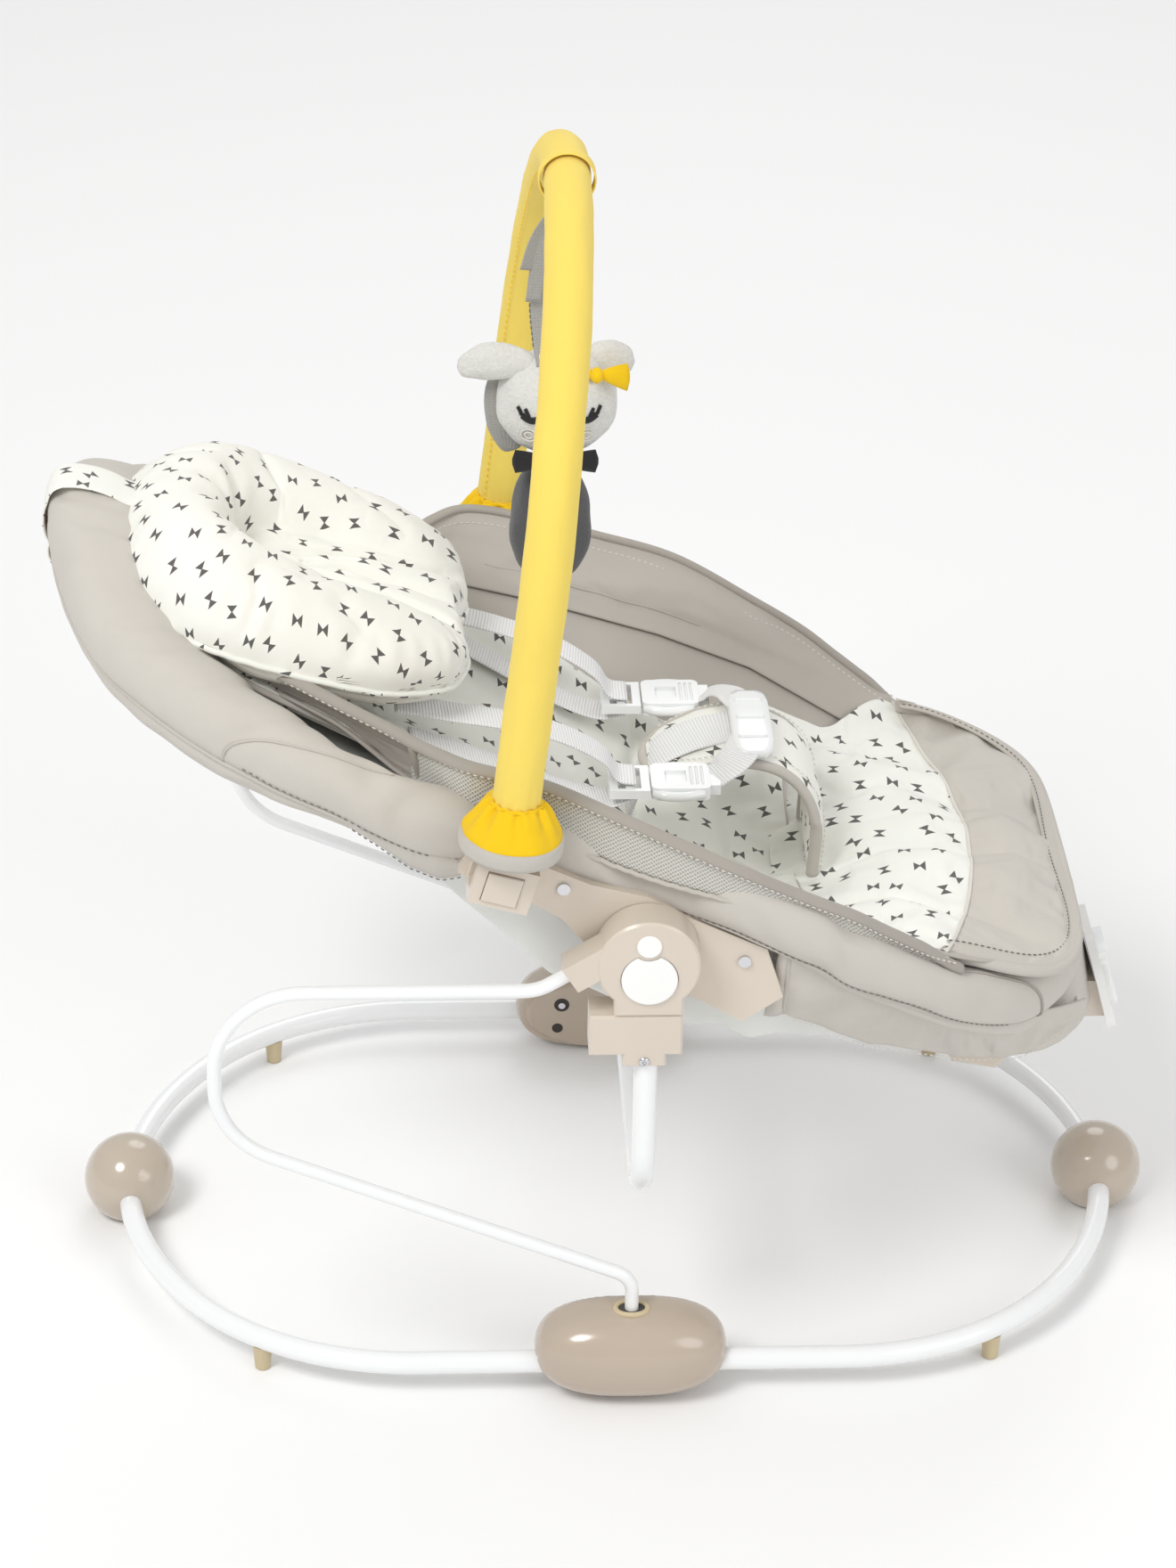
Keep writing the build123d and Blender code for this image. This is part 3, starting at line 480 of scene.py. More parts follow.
def ribbon(name, C, width, thick, mat, normal, twist=None, edge=0.5, **kw):
    # flat webbing: rounded-edge rectangle swept along C, lying flat on the given normals
    C = np.asarray(C, float)
    T = np.empty_like(C)
    T[1:-1] = C[2:] - C[:-2]
    T[0] = C[1] - C[0]
    T[-1] = C[-1] - C[-2]
    T = unit(T)
    N = np.broadcast_to(np.asarray(normal, float), C.shape).copy()
    N = unit(N - T * (N * T).sum(1, keepdims=True))
    S = np.cross(T, N)
    W = np.broadcast_to(np.asarray(width, float), (len(C),))
    h = thick / 2
    prof = [(-1, 0), (-0.97, 0.7), (-0.9, 1), (-0.45, 1), (0, 1), (0.45, 1), (0.9, 1), (0.97, 0.7), (1, 0), (0.97, -0.7), (0.9, -1), (0.45, -1), (0, -1), (-0.45, -1), (-0.9, -1), (-0.97, -0.7)]
    P = np.stack([C + S * (W[:, None] / 2 * a) + N * (h * b) for a, b in prof], 1)
    P0 = C[:1, None] + (P[:1] - C[:1, None]) * np.array(0.96) - T[:1, None] * 0.2
    mid0 = np.repeat(C[:1, None], len(prof), 1) + S[:1, None] * np.array([a for a, b in prof])[None, :, None] * W[0] / 2 * 0.9
    mid1 = np.repeat(C[-1:, None], len(prof), 1) + S[-1:, None] * np.array([a for a, b in prof])[None, :, None] * W[-1] / 2 * 0.9
    P = np.concatenate([mid0, P, mid1], 0)
    held = kw.pop("sheet", None)
    ob = grid(name, P, mat, cv=True, flip=True, **kw)
    bm = bmesh.new()
    bm.from_mesh(ob.data)
    bmesh.ops.remove_doubles(bm, verts=bm.verts, dist=1e-7)
    bm.to_mesh(ob.data)
    bm.free()
    if held:
        L_ = np.linalg.norm(np.diff(C, axis=0), axis=1).sum()
        strap_sheet(ob, L_, float(W.mean()), held[0], held[1])
    return ob

def mesh_normals(ob):
    me = ob.data
    n = np.empty(len(me.vertices) * 3)
    me.vertex_normals.foreach_get("vector", n)
    return n.reshape(-1, 3)

def coords(ob):
    c = np.empty(len(ob.data.vertices) * 3)
    ob.data.vertices.foreach_get("co", c)
    return c.reshape(-1, 3)

def set_coords(ob, c):
    ob.data.vertices.foreach_set("co", np.ascontiguousarray(c).reshape(-1))
    ob.data.update()

def cloth(ob, pin, pressure=2.0, grow=0.04, frames=18, cap=9.0, bend=0.6, stiff=12.0, quality=4, gravity=0.0, relax=0):
    """Puffs a sewn piece: pinned rows stay, the rest swells and buckles. Result applied to the mesh."""
    start = coords(ob)
    vg = ob.vertex_groups.new(name="pin")
    for i, w in enumerate(pin):
        if w > 0:
            vg.add([i], float(w), "REPLACE")
    mod = ob.modifiers.new("cloth", "CLOTH")
    s = mod.settings
    s.quality = quality
    s.mass = 0.15
    s.tension_stiffness = stiff
    s.compression_stiffness = stiff
    s.shear_stiffness = stiff * 0.4
    s.bending_stiffness = bend
    s.air_damping = 4.0
    s.use_pressure = pressure != 0
    s.uniform_pressure_force = pressure
    s.shrink_min = -grow
    s.effector_weights.gravity = gravity
    s.vertex_group_mass = "pin"
    s.pin_stiffness = 1.0
    mod.collision_settings.use_collision = False
    mod.point_cache.frame_start = 1
    mod.point_cache.frame_end = frames
    for f in range(1, frames + 1):
        scene.frame_set(f)
    dg = bpy.context.evaluated_depsgraph_get()
    ev = ob.evaluated_get(dg).to_mesh()
    c = np.empty(len(ev.vertices) * 3)
    ev.vertices.foreach_get("co", c)
    c = c.reshape(-1, 3)
    ob.evaluated_get(dg).to_mesh_clear()
    ob.modifiers.remove(mod)
    ob.vertex_groups.remove(vg)
    scene.frame_set(1)
    if len(c) != len(start) or not np.isfinite(c).all():
        return
    d = c - start
    m = np.linalg.norm(d, axis=1, keepdims=True)
    d = d * np.minimum(1.0, cap * MM / np.maximum(m, 1e-9))
    if relax:
        e = np.empty(len(ob.data.edges) * 2, dtype=np.int64)
        ob.data.edges.foreach_get("vertices", e)
        e = e.reshape(-1, 2)
        cnt = np.bincount(e.reshape(-1), minlength=len(d))[:, None]
        hold = (np.asarray(pin) > 0)[:, None]
        for _ in range(relax):
            acc = np.zeros_like(d)
            np.add.at(acc, e[:, 0], d[e[:, 1]])
            np.add.at(acc, e[:, 1], d[e[:, 0]])
            d = np.where(hold, d, 0.5 * d + 0.5 * acc / np.maximum(cnt, 1))
    set_coords(ob, start + d)

def subdiv(ob, levels=1):
    m = ob.modifiers.new("sub", "SUBSURF")
    m.levels = levels
    m.render_levels = levels
    return ob

def solid(ob, t, offset=0.0):
    m = ob.modifiers.new("thick", "SOLIDIFY")
    m.thickness = t * MM
    m.offset = offset
    return ob

# ================================================================ hard parts keep their CAD shape
NODE_MAT = {}
for n in ("front_base_tube", "rear_base_tube", "left_spring_leg", "right_spring_leg", "cross_brace", "rear_seat_tube",
          "front_seat_tube", "toy_bar_tube"):
    NODE_MAT[n] = WHITE_T
for n in ("ball_front_shell", "ball_rear_shell", "ball_front_base", "ball_rear_base"):
    NODE_MAT[n] = BEIGE_G
for n in ("left_capsule_shell", "right_capsule_shell", "left_capsule_cover", "right_capsule_cover"):
    NODE_MAT[n] = BEIGE_C
for n in ("left_hub_housing",
          "right_hub_housing", "left_side_rail", "right_side_rail", "left_bar_release", "right_bar_release",
          "vibration_housing", "toy_bar_knuckles"):
    NODE_MAT[n] = BEIGE
for n in ("peg_front_left", "peg_front_right", "peg_rear_left", "peg_rear_right"):
    NODE_MAT[n] = RUBBER
for n in ("pivot_pins", "capsule_screws", "pivot_bolts", "rail_screws", "toy_bar_pins"):
    NODE_MAT[n] = CHROME
for n in ("hub_caps", "left_recline_button", "right_recline_button", "recline_gears", "vibration_panel", "vibration_button"):
    NODE_MAT[n] = WHITE_P
for n in ("vibration_knob", "strap_adjusters", "left_buckle", "right_buckle"):
    NODE_MAT[n] = CLEAR
for n, m in NODE_MAT.items():
    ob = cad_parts[n]
    ob.data.materials.clear()
    ob.data.materials.append(m)
# moulded and metal edges are broken a little
for n in ("left_hub_housing", "right_hub_housing", "left_side_rail", "right_side_rail", "left_bar_release", "right_bar_release",
          "toy_bar_knuckles", "strap_adjusters", "left_buckle", "right_buckle", "vibration_panel"):
    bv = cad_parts[n].modifiers.new("soft_edges", "BEVEL")
    bv.width = 0.0011
    bv.segments = 2
    bv.limit_method = "ANGLE"
    bv.angle_limit = math.radians(38)
    bv.harden_normals = False

# ================================================================ seat stations (mm)
RIM = [(-348, 0, 530, 18, 30), (-338, -62, 514, 18, 29), (-311, -110, 488, 17, 28), (-264, -146, 463, 16, 27),
       (-226, -158, 447, 16, 26), (-191, -166, 434, 15, 25), (-137, -170, 411, 15, 25), (-96, -171, 402, 15, 22),
       (-47, -172, 388, 14, 18), (2, -175, 371, 14, 17), (30, -180, 364, 14, 17), (59, -186, 355, 15, 18),
       (105, -187, 331, 15, 19), (131, -183, 312, 15, 21), (168, -174, 293, 15, 24), (206, -157, 270, 15, 27),
       (246, -126, 252, 15, 32), (275, -72, 244, 15, 38), (287, 0, 242, 15, 42)]
RIM_LOOP = RIM + [(x, -y, z, a, b) for x, y, z, a, b in RIM[-2:0:-1]]
WALL = [(-228, 100, 476), (-212, 112, 474), (-182, 125, 463), (-155, 134, 452), (-138, 145, 447), (-122, 162, 448), (-105, 176, 448),
        (-82, 181, 444), (-54, 183, 436), (-10, 193, 419), (45, 203, 396), (101, 196, 365), (133, 189, 347), (157, 182, 330),
        (185, 173, 311), (212, 162, 297), (230, 154, 290)]
TROUGH = [(-320, 74, 492, 474), (-292, 80, 474, 452), (-235, 122, 446, 424), (-150, 147, 412, 384), (-60, 150, 388, 338),
          (30, 158, 356, 272), (95, 164, 326, 252), (160, 152, 290, 254), (212, 124, 272, 255), (244, 86, 262, 252), (262, 80, 262, 252)]

def pad_top(x, y, lift=26.0):
    """height of the seat pad's upper side"""
    hw, ze, zb = lerp_table(TROUGH, x)
    return zb + lift + (ze - zb) * (np.abs(y) / hw) ** 2

# ---------------------------------------------------------------- padded rim
NL, NS = 460, 48
loop = catmull(RIM_LOOP, NL, closed=True)
C = loop[:, :3]
T = unit(np.roll(C, -1, 0) - np.roll(C, 1, 0))
TH = unit(np.stack([T[:, 0], T[:, 1], 0 * T[:, 0]], -1))
OUT = np.stack([-TH[:, 1], TH[:, 0], 0 * TH[:, 0]], -1)      # horizontal normal
if (OUT[0] * arr(-1, 0, 0)).sum() < 0:
    OUT = -OUT
tn, th = loop[:, 3], loop[:, 4].copy()
C = C.copy()
dz = np.interp(C[:, 0], [-90, -45, 20, 110, 150, 172, 206, 246, 287], [0, 8, 11, 11, 7, 0, -9, -12, -16])
th += dz / 2
C[:, 2] += dz / 2
head = smooth(-150, -262, C[:, 0])
tin = tn + head * 46                        # the head cushion reaches further in
phi = np.linspace(0, 2 * np.pi, NS, endpoint=False)
SEAM_J = NS - 3
seam_at = np.radians(np.interp(C[:, 0], [-350, -262, -195, -110, 90, 150, 205, 290], [-12, -14, -34, -56, -56, -40, -30, -22]))
PHI = phi[None, :] + (seam_at - (phi[SEAM_J] - 2 * np.pi))[:, None]
P = np.zeros((NL, NS, 3))
NRM = np.zeros((NL, NS, 3))
s_len = np.concatenate([[0], np.cumsum(np.linalg.norm(np.diff(C, axis=0), axis=1))])
for j in range(NS):
    c, s_ = np.cos(PHI[:, j]), np.sin(PHI[:, j])
    cc = np.sign(c) * np.abs(c) ** 0.86
    ss = np.sign(s_) * np.abs(s_) ** 0.86
    off = np.where(cc > 0, tn * cc, tin * cc)
    hz = th * ss
    hz = np.where(cc < 0, hz - head * 22 * np.abs(cc) ** 1.6 * (0.55 + 0.45 * (ss > 0)), hz)
    P[:, j] = C + OUT * off[:, None] + arr(0, 0, 1) * hz[:, None]
    NRM[:, j] = unit(OUT * c[:, None] + arr(0, 0, 1) * s_[:, None])
for i in range(NL):
    sl = s_len[i] if i <= NL // 2 else 2 * s_len[NL // 2] - s_len[i] + 900.0
    for j in range(NS):
        a = PHI[i, j]
        c, sn = math.cos(a), math.sin(a)
        w = nz(sl * 0.016, c * 0.5, 3.1) * 1.2 + nz(sl * 0.04, c * 0.9, 8.0) * 0.5
        rdg = 1 - 2.2 * abs(nz(sl * 0.026 + 0.75 * c, sn * 0.35 + c * 0.2, 4.0))
        w -= 2.0 * max(0.0, rdg) ** 3 * max(0.0, 0.35 + sn) * (0.22 + 0.78 * head[i])
        ds = min(abs(j - SEAM_J), NS - abs(j - SEAM_J))
        k = min(1.0, ds / 3.0)
        P[i, j] += NRM[i, j] * (w * k - 2.2 * max(0.0, 1 - ds / 1.6))
rim = grid("rim_pad", P, GREY, cu=True, cv=True, body="seat", slot="grey_fabric", replaces=("left_rim_pad", "right_rim_pad"), padded=0.7)
pin = np.zeros((NL, NS))
pin[:, SEAM_J] = 1
for j in range(NS):
    pin[:, j] = np.maximum(pin[:, j], (np.cos(PHI[:, j]) < -0.93) | ((np.sin(PHI[:, j]) < -0.9)))
cloth(rim, pin.reshape(-1), pressure=4.0, grow=0.025, frames=16, cap=4.0, bend=1.2, relax=6)
kd_P = coords(rim)
kd = mathutils.kdtree.KDTree(len(kd_P))
for i_, q_ in enumerate(kd_P):
    kd.insert(q_, i_)
kd.balance()
nr_ = NRM.reshape(-1, 3)
push = np.zeros(len(kd_P))
for nn in ("rear_seat_tube", "front_seat_tube"):
    me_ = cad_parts[nn].data
    tv = np.empty(len(me_.vertices) * 3)
    me_.vertices.foreach_get("co", tv)
    ev_ = np.empty(len(me_.edges) * 2, dtype=np.int64)
    me_.edges.foreach_get("vertices", ev_)
    tv = tv.reshape(-1, 3)
    ev_ = ev_.reshape(-1, 2)
    pts_ = [tv] + [tv[ev_[:, 0]] * (1 - f_) + tv[ev_[:, 1]] * f_ for f_ in (0.2, 0.4, 0.6, 0.8)]
    for q_ in np.concatenate(pts_, 0):
        _, i_, d_ = kd.find(q_)
        if d_ < 0.03:
            o_ = float(((q_ - kd_P[i_]) * nr_[i_]).sum()) + 0.0022
            if o_ > 0:
                push[i_] = max(push[i_], min(o_, 0.012))
hot = np.nonzero(push > 0)[0]
lift_ = np.zeros(len(kd_P))
for i_ in hot:
    for _, k_, d_ in kd.find_range(kd_P[i_], 0.030):
        lift_[k_] = max(lift_[k_], push[i_] * math.exp(-(d_ / 0.015) ** 2))
set_coords(rim, kd_P + nr_ * lift_[:, None])
rimP = coords(rim).reshape(NL, NS, 3) / MM
subdiv(rim, 1)

def rim_at(i, j, lift=0.0):
    i0, j0 = int(math.floor(i)), int(math.floor(j))
    fi, fj = i - i0, j - j0
    q = 0
    n = 0
    for di, wi in ((0, 1 - fi), (1, fi)):
        for dj, wj in ((0, 1 - fj), (1, fj)):
            q = q + wi * wj * rimP[(i0 + di) % NL, (j0 + dj) % NS]
            n = n + wi * wj * NRM[(i0 + di) % NL, (j0 + dj) % NS]
    return q + unit(n[None])[0] * lift

def near_i(x):
    k = np.arange(2, NL // 2)
    return int(k[np.argmin(np.abs(C[k, 0] - x))])

ring_i = list(range(NL))
line = np.array([rim_at(i, SEAM_J, 1.0) for i in ring_i])
tube("rim_piping", line, 1.3, BIND_LT, closed=True, seg=8, body="seat", slot="grey_fabric")
for k, flip_i in enumerate((False, True)):
    def ii(i):
        return (NL - i) % NL if flip_i else i
    tag = "near" if not flip_i else "far"
    span = np.linspace(near_i(-240), near_i(235), 300)
    q = np.array([rim_at(ii(i), SEAM_J + 1.2, 0.2) for i in span])
    nq = np.array([NRM[int(round(ii(i))) % NL, (SEAM_J + 1) % NS] for i in span])
    stitches("rim_stitch_%s" % tag, q, nq, THREAD_D, pitch=4.6, r=0.36, body="seat", slot="grey_fabric")
    # leaf shaped seam where the side roll starts on the head cushion
    t = np.linspace(0, 1, 60)
    a0, a1 = near_i(-250), near_i(-150)
    q = np.array([rim_at(ii(a0 + (a1 - a0) * u), SEAM_J + 18 * u ** 0.5, 0.5) for u in t])
    tube("rim_leaf_seam_%s" % tag, q, 0.9, BIND_LT, seg=6, body="seat", slot="grey_fabric")
    # rounded end of the side roll at the foot
    a0, a1 = near_i(252), near_i(205)
    q = np.array([rim_at(ii(a0 + (a1 - a0) * (1 - math.cos(u * math.pi / 2))), SEAM_J + 15 * math.sin(u * math.pi / 2), 0.5) for u in t])
    tube("rim_end_seam_%s" % tag, q, 1.0, BIND, seg=6, body="seat", slot="grey_fabric")

# ---------------------------------------------------------------- side walls: grey inner face, knit outer face, bound edge
rim_c = coords(rim) / MM
RIM_TREE = mathutils.bvhtree.BVHTree.FromPolygons([Vector(q_) for q_ in rim_c], [tuple(f_.vertices) for f_ in rim.data.polygons])
def wall_curves(side, n=190):
    return catmull([(x, -side * w, z) for x, w, z in WALL], n)

def wall_foot(x, w, z):
    """where the wall meets the seat liner: half width and height"""
    hw, ze, zb = [float(t) for t in lerp_table(TROUGH, x)]
    f = float(smooth(-190, -140, x))
    return (w - 8) * (1 - f) + min(hw - 2, w - 8) * f, (z - 16) * (1 - f) + min(ze + 9, z - 10) * f

for side, tag in ((1, "left"), (-1, "right")):
    W = wall_curves(side)
    n = len(W)
    NV = 24
    In = np.zeros((n, NV, 3))
    Ou = np.zeros((n, 8, 3))
    for i in range(n):
        x, y, z = W[i]
        sy = math.copysign(1, y)
        wf, zf = wall_foot(x, abs(y), z)
        rim_i = near_i(x)
        rz = C[rim_i, 2]
        for j in range(NV):
            v = j / (NV - 1)
            env = math.sin(math.pi * min(1, v)) ** 0.7
            wv = 1.9 * nz(x * 0.016 + v * 1.3, v * 2.0, 5.0 + side) + 1.0 * nz(x * 0.045 - v * 2.0, v * 3.0, 1.0)
            rdg = max(0.0, 1 - 2.4 * abs(nz(x * 0.012 + v * 0.9, v * 1.2, 11.0 + side))) ** 4
            yy = abs(y) + (wf - abs(y)) * v ** 1.15 + min(0.4, wv * 1.1 - 1.6 * rdg) * env * (1 - float(smooth(70, 110, x))) - 1.5 - 3.0 * min(1.0, v * 4)
            In[i, j] = (x, sy * yy, z + (zf - z) * v)
        for j in range(8):
            v = j / 7
            Ou[i, j] = (x, sy * (abs(y) + 1.0 - 4 * v), z - v * max(6.0, z - (rz + 4)))
    # the inner face stays clear of the padded rim
    clr = np.zeros((n, NV))
    for i in range(n):
        if W[i, 0] < -150:
            continue
        for j in range(NV):
            x_, y_, z_ = In[i, j]
            hit = RIM_TREE.ray_cast(Vector((x_, 0.0, z_)), Vector((0.0, math.copysign(1.0, y_), 0.0)))
            if hit[0] is not None:
                clr[i, j] = min(14.0, max(0.0, abs(y_) - (abs(hit[0].y) - 3.4)))
    for k_ in range(14):
        a_ = np.pad(clr, 1, mode="edge")
        clr = np.maximum(clr, 0.97 * (a_[:-2, 1:-1] + a_[2:, 1:-1] + a_[1:-1, :-2] + a_[1:-1, 2:]) / 4)
    In[:, :, 1] -= np.sign(In[:, :, 1]) * clr
    wi = grid("%s_wall_inner" % tag, In, GREY_IN, flip=(side > 0), body="seat", slot="grey_fabric", replaces=("%s_side_wall" % tag,), sheet=("stretched", ["%s_rim_pad" % tag]))
    solid(wi, 2.2)
    subdiv(wi, 1)
    i0 = int(np.argmin(np.abs(W[:, 0] + 140)))
    kn = grid("%s_wall_knit" % tag, Ou[i0:int(np.argmin(np.abs(W[:, 0] - 198)))], KNIT, flip=(side < 0), body="seat", slot="grey_fabric", sheet=("stretched", ["%s_rim_pad" % tag]))
    solid(kn, 1.2)
    edge = W[W[:, 0] < 208] + arr(0, 0, 1.0)
    edge[:, 2] -= 8.0 * smooth(176, 208, edge[:, 0])
    tube("%s_wall_binding" % tag, edge, 4.6, BIND, seg=12, flat=0.66, up=(0, 0.35 * -side, 1), body="seat", slot="grey_fabric")
    e2 = np.array([W[i0] + arr(0, math.copysign(1.5, W[i0, 1]), 0), W[i0] + arr(3, math.copysign(0.5, W[i0, 1]), -14), W[i0] + arr(8, -math.copysign(4, W[i0, 1]), -34)])
    tube("%s_wall_end_binding" % tag, catmull(e2, 24), 4.2, BIND, seg=10, flat=0.7, up=(1, 0, 0), body="seat", slot="grey_fabric")
    sgn = np.sign(W[:, 1:2])
    inner = In[:, 3][W[:, 0] < 205] - np.concatenate([0 * sgn, sgn * 1.6, 0 * sgn], 1)[W[:, 0] < 205]
    stitches("%s_wall_stitch" % tag, inner, arr(0, -sgn[5, 0], 0.2), THREAD, pitch=4.4, body="seat", slot="grey_fabric")
    seam = In[:, 15] - np.concatenate([0 * sgn, sgn * 1.3, 0 * sgn], 1)
    tube("%s_wall_seam" % tag, seam[60:118], 0.55, GREY_IN, seg=6, body="seat", slot="grey_fabric")
    outer = (W + np.concatenate([0 * sgn, sgn * 4.4, 0 * sgn - 1.0], 1))[W[:, 0] < 205]
    stitches("%s_wall_stitch_out" % tag, outer, arr(0, sgn[5, 0], 0.3), THREAD, pitch=4.4, body="seat", slot="grey_fabric")
    # loop on the roll's outer piece: second bound edge below the knit strip
    low_e = Ou[i0 + 4:, 7] + np.concatenate([0 * sgn[i0 + 4:], sgn[i0 + 4:] * 2.0, 0 * sgn[i0 + 4:] + 1.0], 1)
    tube("%s_knit_edge" % tag, low_e, 1.6, BIND_LT, seg=8, body="seat", slot="grey_fabric")

# grey seat liner between the two walls
WL = wall_curves(1, 150)
P = np.zeros((150, 61, 3))
for i in range(150):
    x, y, z = WL[i]
    wf, zf = wall_foot(x, abs(y), z)
    zc = float(lerp_table(TROUGH, x)[2]) + 13
    for j in range(61):
        v = -1 + 2 * j / 60
        P[i, j] = (x, v * wf, zc + (zf - zc) * abs(v) ** 2.0 + 1.4 * nz(x * 0.02, v * 3, 6) * (1 - v * v))
ln_ = grid("seat_liner", P, GREY_IN, flip=False, body="seat", slot="grey_fabric", sheet=("stretched", ["hammock_lining"]))
solid(ln_, 3.0, -1)
subdiv(ln_, 1)

# ---------------------------------------------------------------- hammock: underside lining
xs = np.linspace(-318, 262, 120)
vs = np.linspace(-1, 1, 41)
P = np.zeros((len(xs), len(vs), 3))
for i, x in enumerate(xs):
    hw, ze, zb = [float(t) for t in lerp_table(TROUGH, x)]
    for j, v in enumerate(vs):
        y = v * (hw - 6)
        P[i, j] = (x, y, zb + (ze - zb) * (y / hw) ** 2 + 1.0 * nz(x * 0.02, y * 0.02, 9))
ham = grid("hammock_lining", P, LINING, flip=True, body="seat", slot="grey_fabric", replaces=("hammock",), sheet=("hung", ["left_rim_pad", "right_rim_pad"]))
solid(ham, 3.0)

# ---------------------------------------------------------------- seat pad (print): back and hips
xs = np.linspace(-300, 112, 130)
vs = np.linspace(-1, 1, 61)
half = [(-300, 60), (-270, 84), (-235, 96), (-160, 112), (-107, 112), (-60, 106), (-10, 98), (40, 96), (112, 100)]
T_, B_ = np.zeros((len(xs), len(vs), 3)), np.zeros((len(xs), len(vs), 3))
for i, x in enumerate(xs):
    hw = float(np.interp(x, *np.array(half).T))
    for j, v in enumerate(vs):
        y = v * hw
        edge = (1 - abs(v) ** 6) * float(smooth(-300, -280, x))
        crown = 7 * edge + 2.0 * nz(x * 0.025, y * 0.03, 2.0) * edge
        ch = 4.0 * (math.exp(-((x + 62) / 5.0) ** 2) + math.exp(-((x - 10) / 5.0) ** 2) + math.exp(-((x - 66) / 5.0) ** 2))
        z = float(pad_top(x, y, 20.0)) + 6 * abs(v) ** 2
        T_[i, j] = (x, y, z + crown - ch * (1 - abs(v) ** 4))
        B_[i, j] = (x, y, z - 8)
P = np.concatenate([T_, B_[:, ::-1][:, 1:-1]], 1)
pad = grid("seat_pad_cover", P, PRINT, cv=True, flip=False, body="seat", slot="print_fabric", replaces=("seat_pad",), padded=0.5)
pin = np.zeros((len(xs), P.shape[1])); pin[:, 61:] = 1; pin[:, 0] = pin[:, 60] = 1; pin[0] = pin[-1] = 1
cloth(pad, pin.reshape(-1), pressure=1.5, grow=0.03, frames=12, cap=5.0)
padedge = np.concatenate([T_[:, 0], T_[-1, 1:-1], T_[::-1, -1]], 0)
tube("seat_pad_piping", padedge + arr(0, 0, -3.0), 2.4, BIND_LT, seg=8, body="seat", slot="grey_fabric")

# ---------------------------------------------------------------- foot fan (print) and foot flap (grey)
def fan_edge(y):
    return 230 - 0.00147 * y * y

_t = np.linspace(-1, 1, 1201)
_c, _s = np.clip(np.cos(_t * math.pi / 2), 0, None), np.sin(_t * math.pi / 2)
_E = np.stack([197 + 95 * _c ** 0.63, 151 * np.sign(_s) * np.abs(_s) ** 0.34, 275 + 6 * _t + 26 * np.abs(_t) ** 3], -1)
_L = np.concatenate([[0], np.cumsum(np.linalg.norm(np.diff(_E, axis=0), axis=1))])
_L = 2 * _L / _L[-1] - 1

def flap_edge(t):
    # outline of the flap from near to far corner by its length, t in -1..1
    return np.array([np.interp(t, _L, _E[:, k]) for k in range(3)])

wall_top = catmull([(x, w, z) for x, w, z in WALL], 300)
def wall_edge(x):
    return float(np.interp(x, wall_top[:, 0], wall_top[:, 1])), float(np.interp(x, wall_top[:, 0], wall_top[:, 2]))

NU, NVV = 70, 110
P = np.zeros((NU, NVV, 3))
for j in range(NVV):
    t = -1 + 2 * j / (NVV - 1)
    x1 = fan_edge(152 * t)
    for i in range(NU):
        u = i / (NU - 1)
        x = 98 + 6 * abs(t) + (x1 - 98 - 6 * abs(t)) * u
        wt, zt = wall_edge(x)
        wf, zf = wall_foot(x, wt, zt)
        k = float(smooth(0.40, 1.0, u))
        zc_ = float(lerp_table(TROUGH, x)[2]) + 13
        ye, ze_ = (0.86 * wf) * (1 - k) + (wt - 6) * k, (zc_ + 0.74 * (zf - zc_) + 5) * (1 - k) + (zt - 1) * k
        base = float(pad_top(min(x, 244), 0, 26.0))
        mid = base + (291 - base) * float(smooth(0.10, 0.90, u))
        y = t * ye
        ang = math.atan2(y, 130)
        pleat = (2.4 * math.sin(ang * 15 + 0.8 * nz(u * 2, t * 3, 4)) - 2.5 * max(0.0, 1 - 3 * abs(nz(t * 3.1, u * 0.6, 31.0))) ** 2) * (0.25 + 0.75 * math.exp(-((u - 0.95) / 0.35) ** 2)) * (1 - abs(t) ** 4)
        puff = 8 * math.sin(math.pi * u) * (1 - abs(t) ** 2)
        P[i, j] = (x, y, mid + (max(ze_, mid) - mid) * abs(t) ** 2.6 + pleat + puff + 1.2 * nz(x * 0.03, y * 0.03, 7) * (1 - abs(t) ** 4))
fanP = P
fan = grid("foot_fan", P, PRINT, flip=False, body="seat", slot="print_fabric", padded=0.4)
pin = np.zeros((NU, NVV)); pin[0] = pin[-1] = 1; pin[:, 0] = pin[:, -1] = 1
cloth(fan, pin.reshape(-1), pressure=0.8, grow=0.05, frames=18, cap=7.0, bend=0.5, relax=2)
fanP = coords(fan).reshape(NU, NVV, 3) / MM
solid(fan, 2.5, -1)
subdiv(fan, 1)

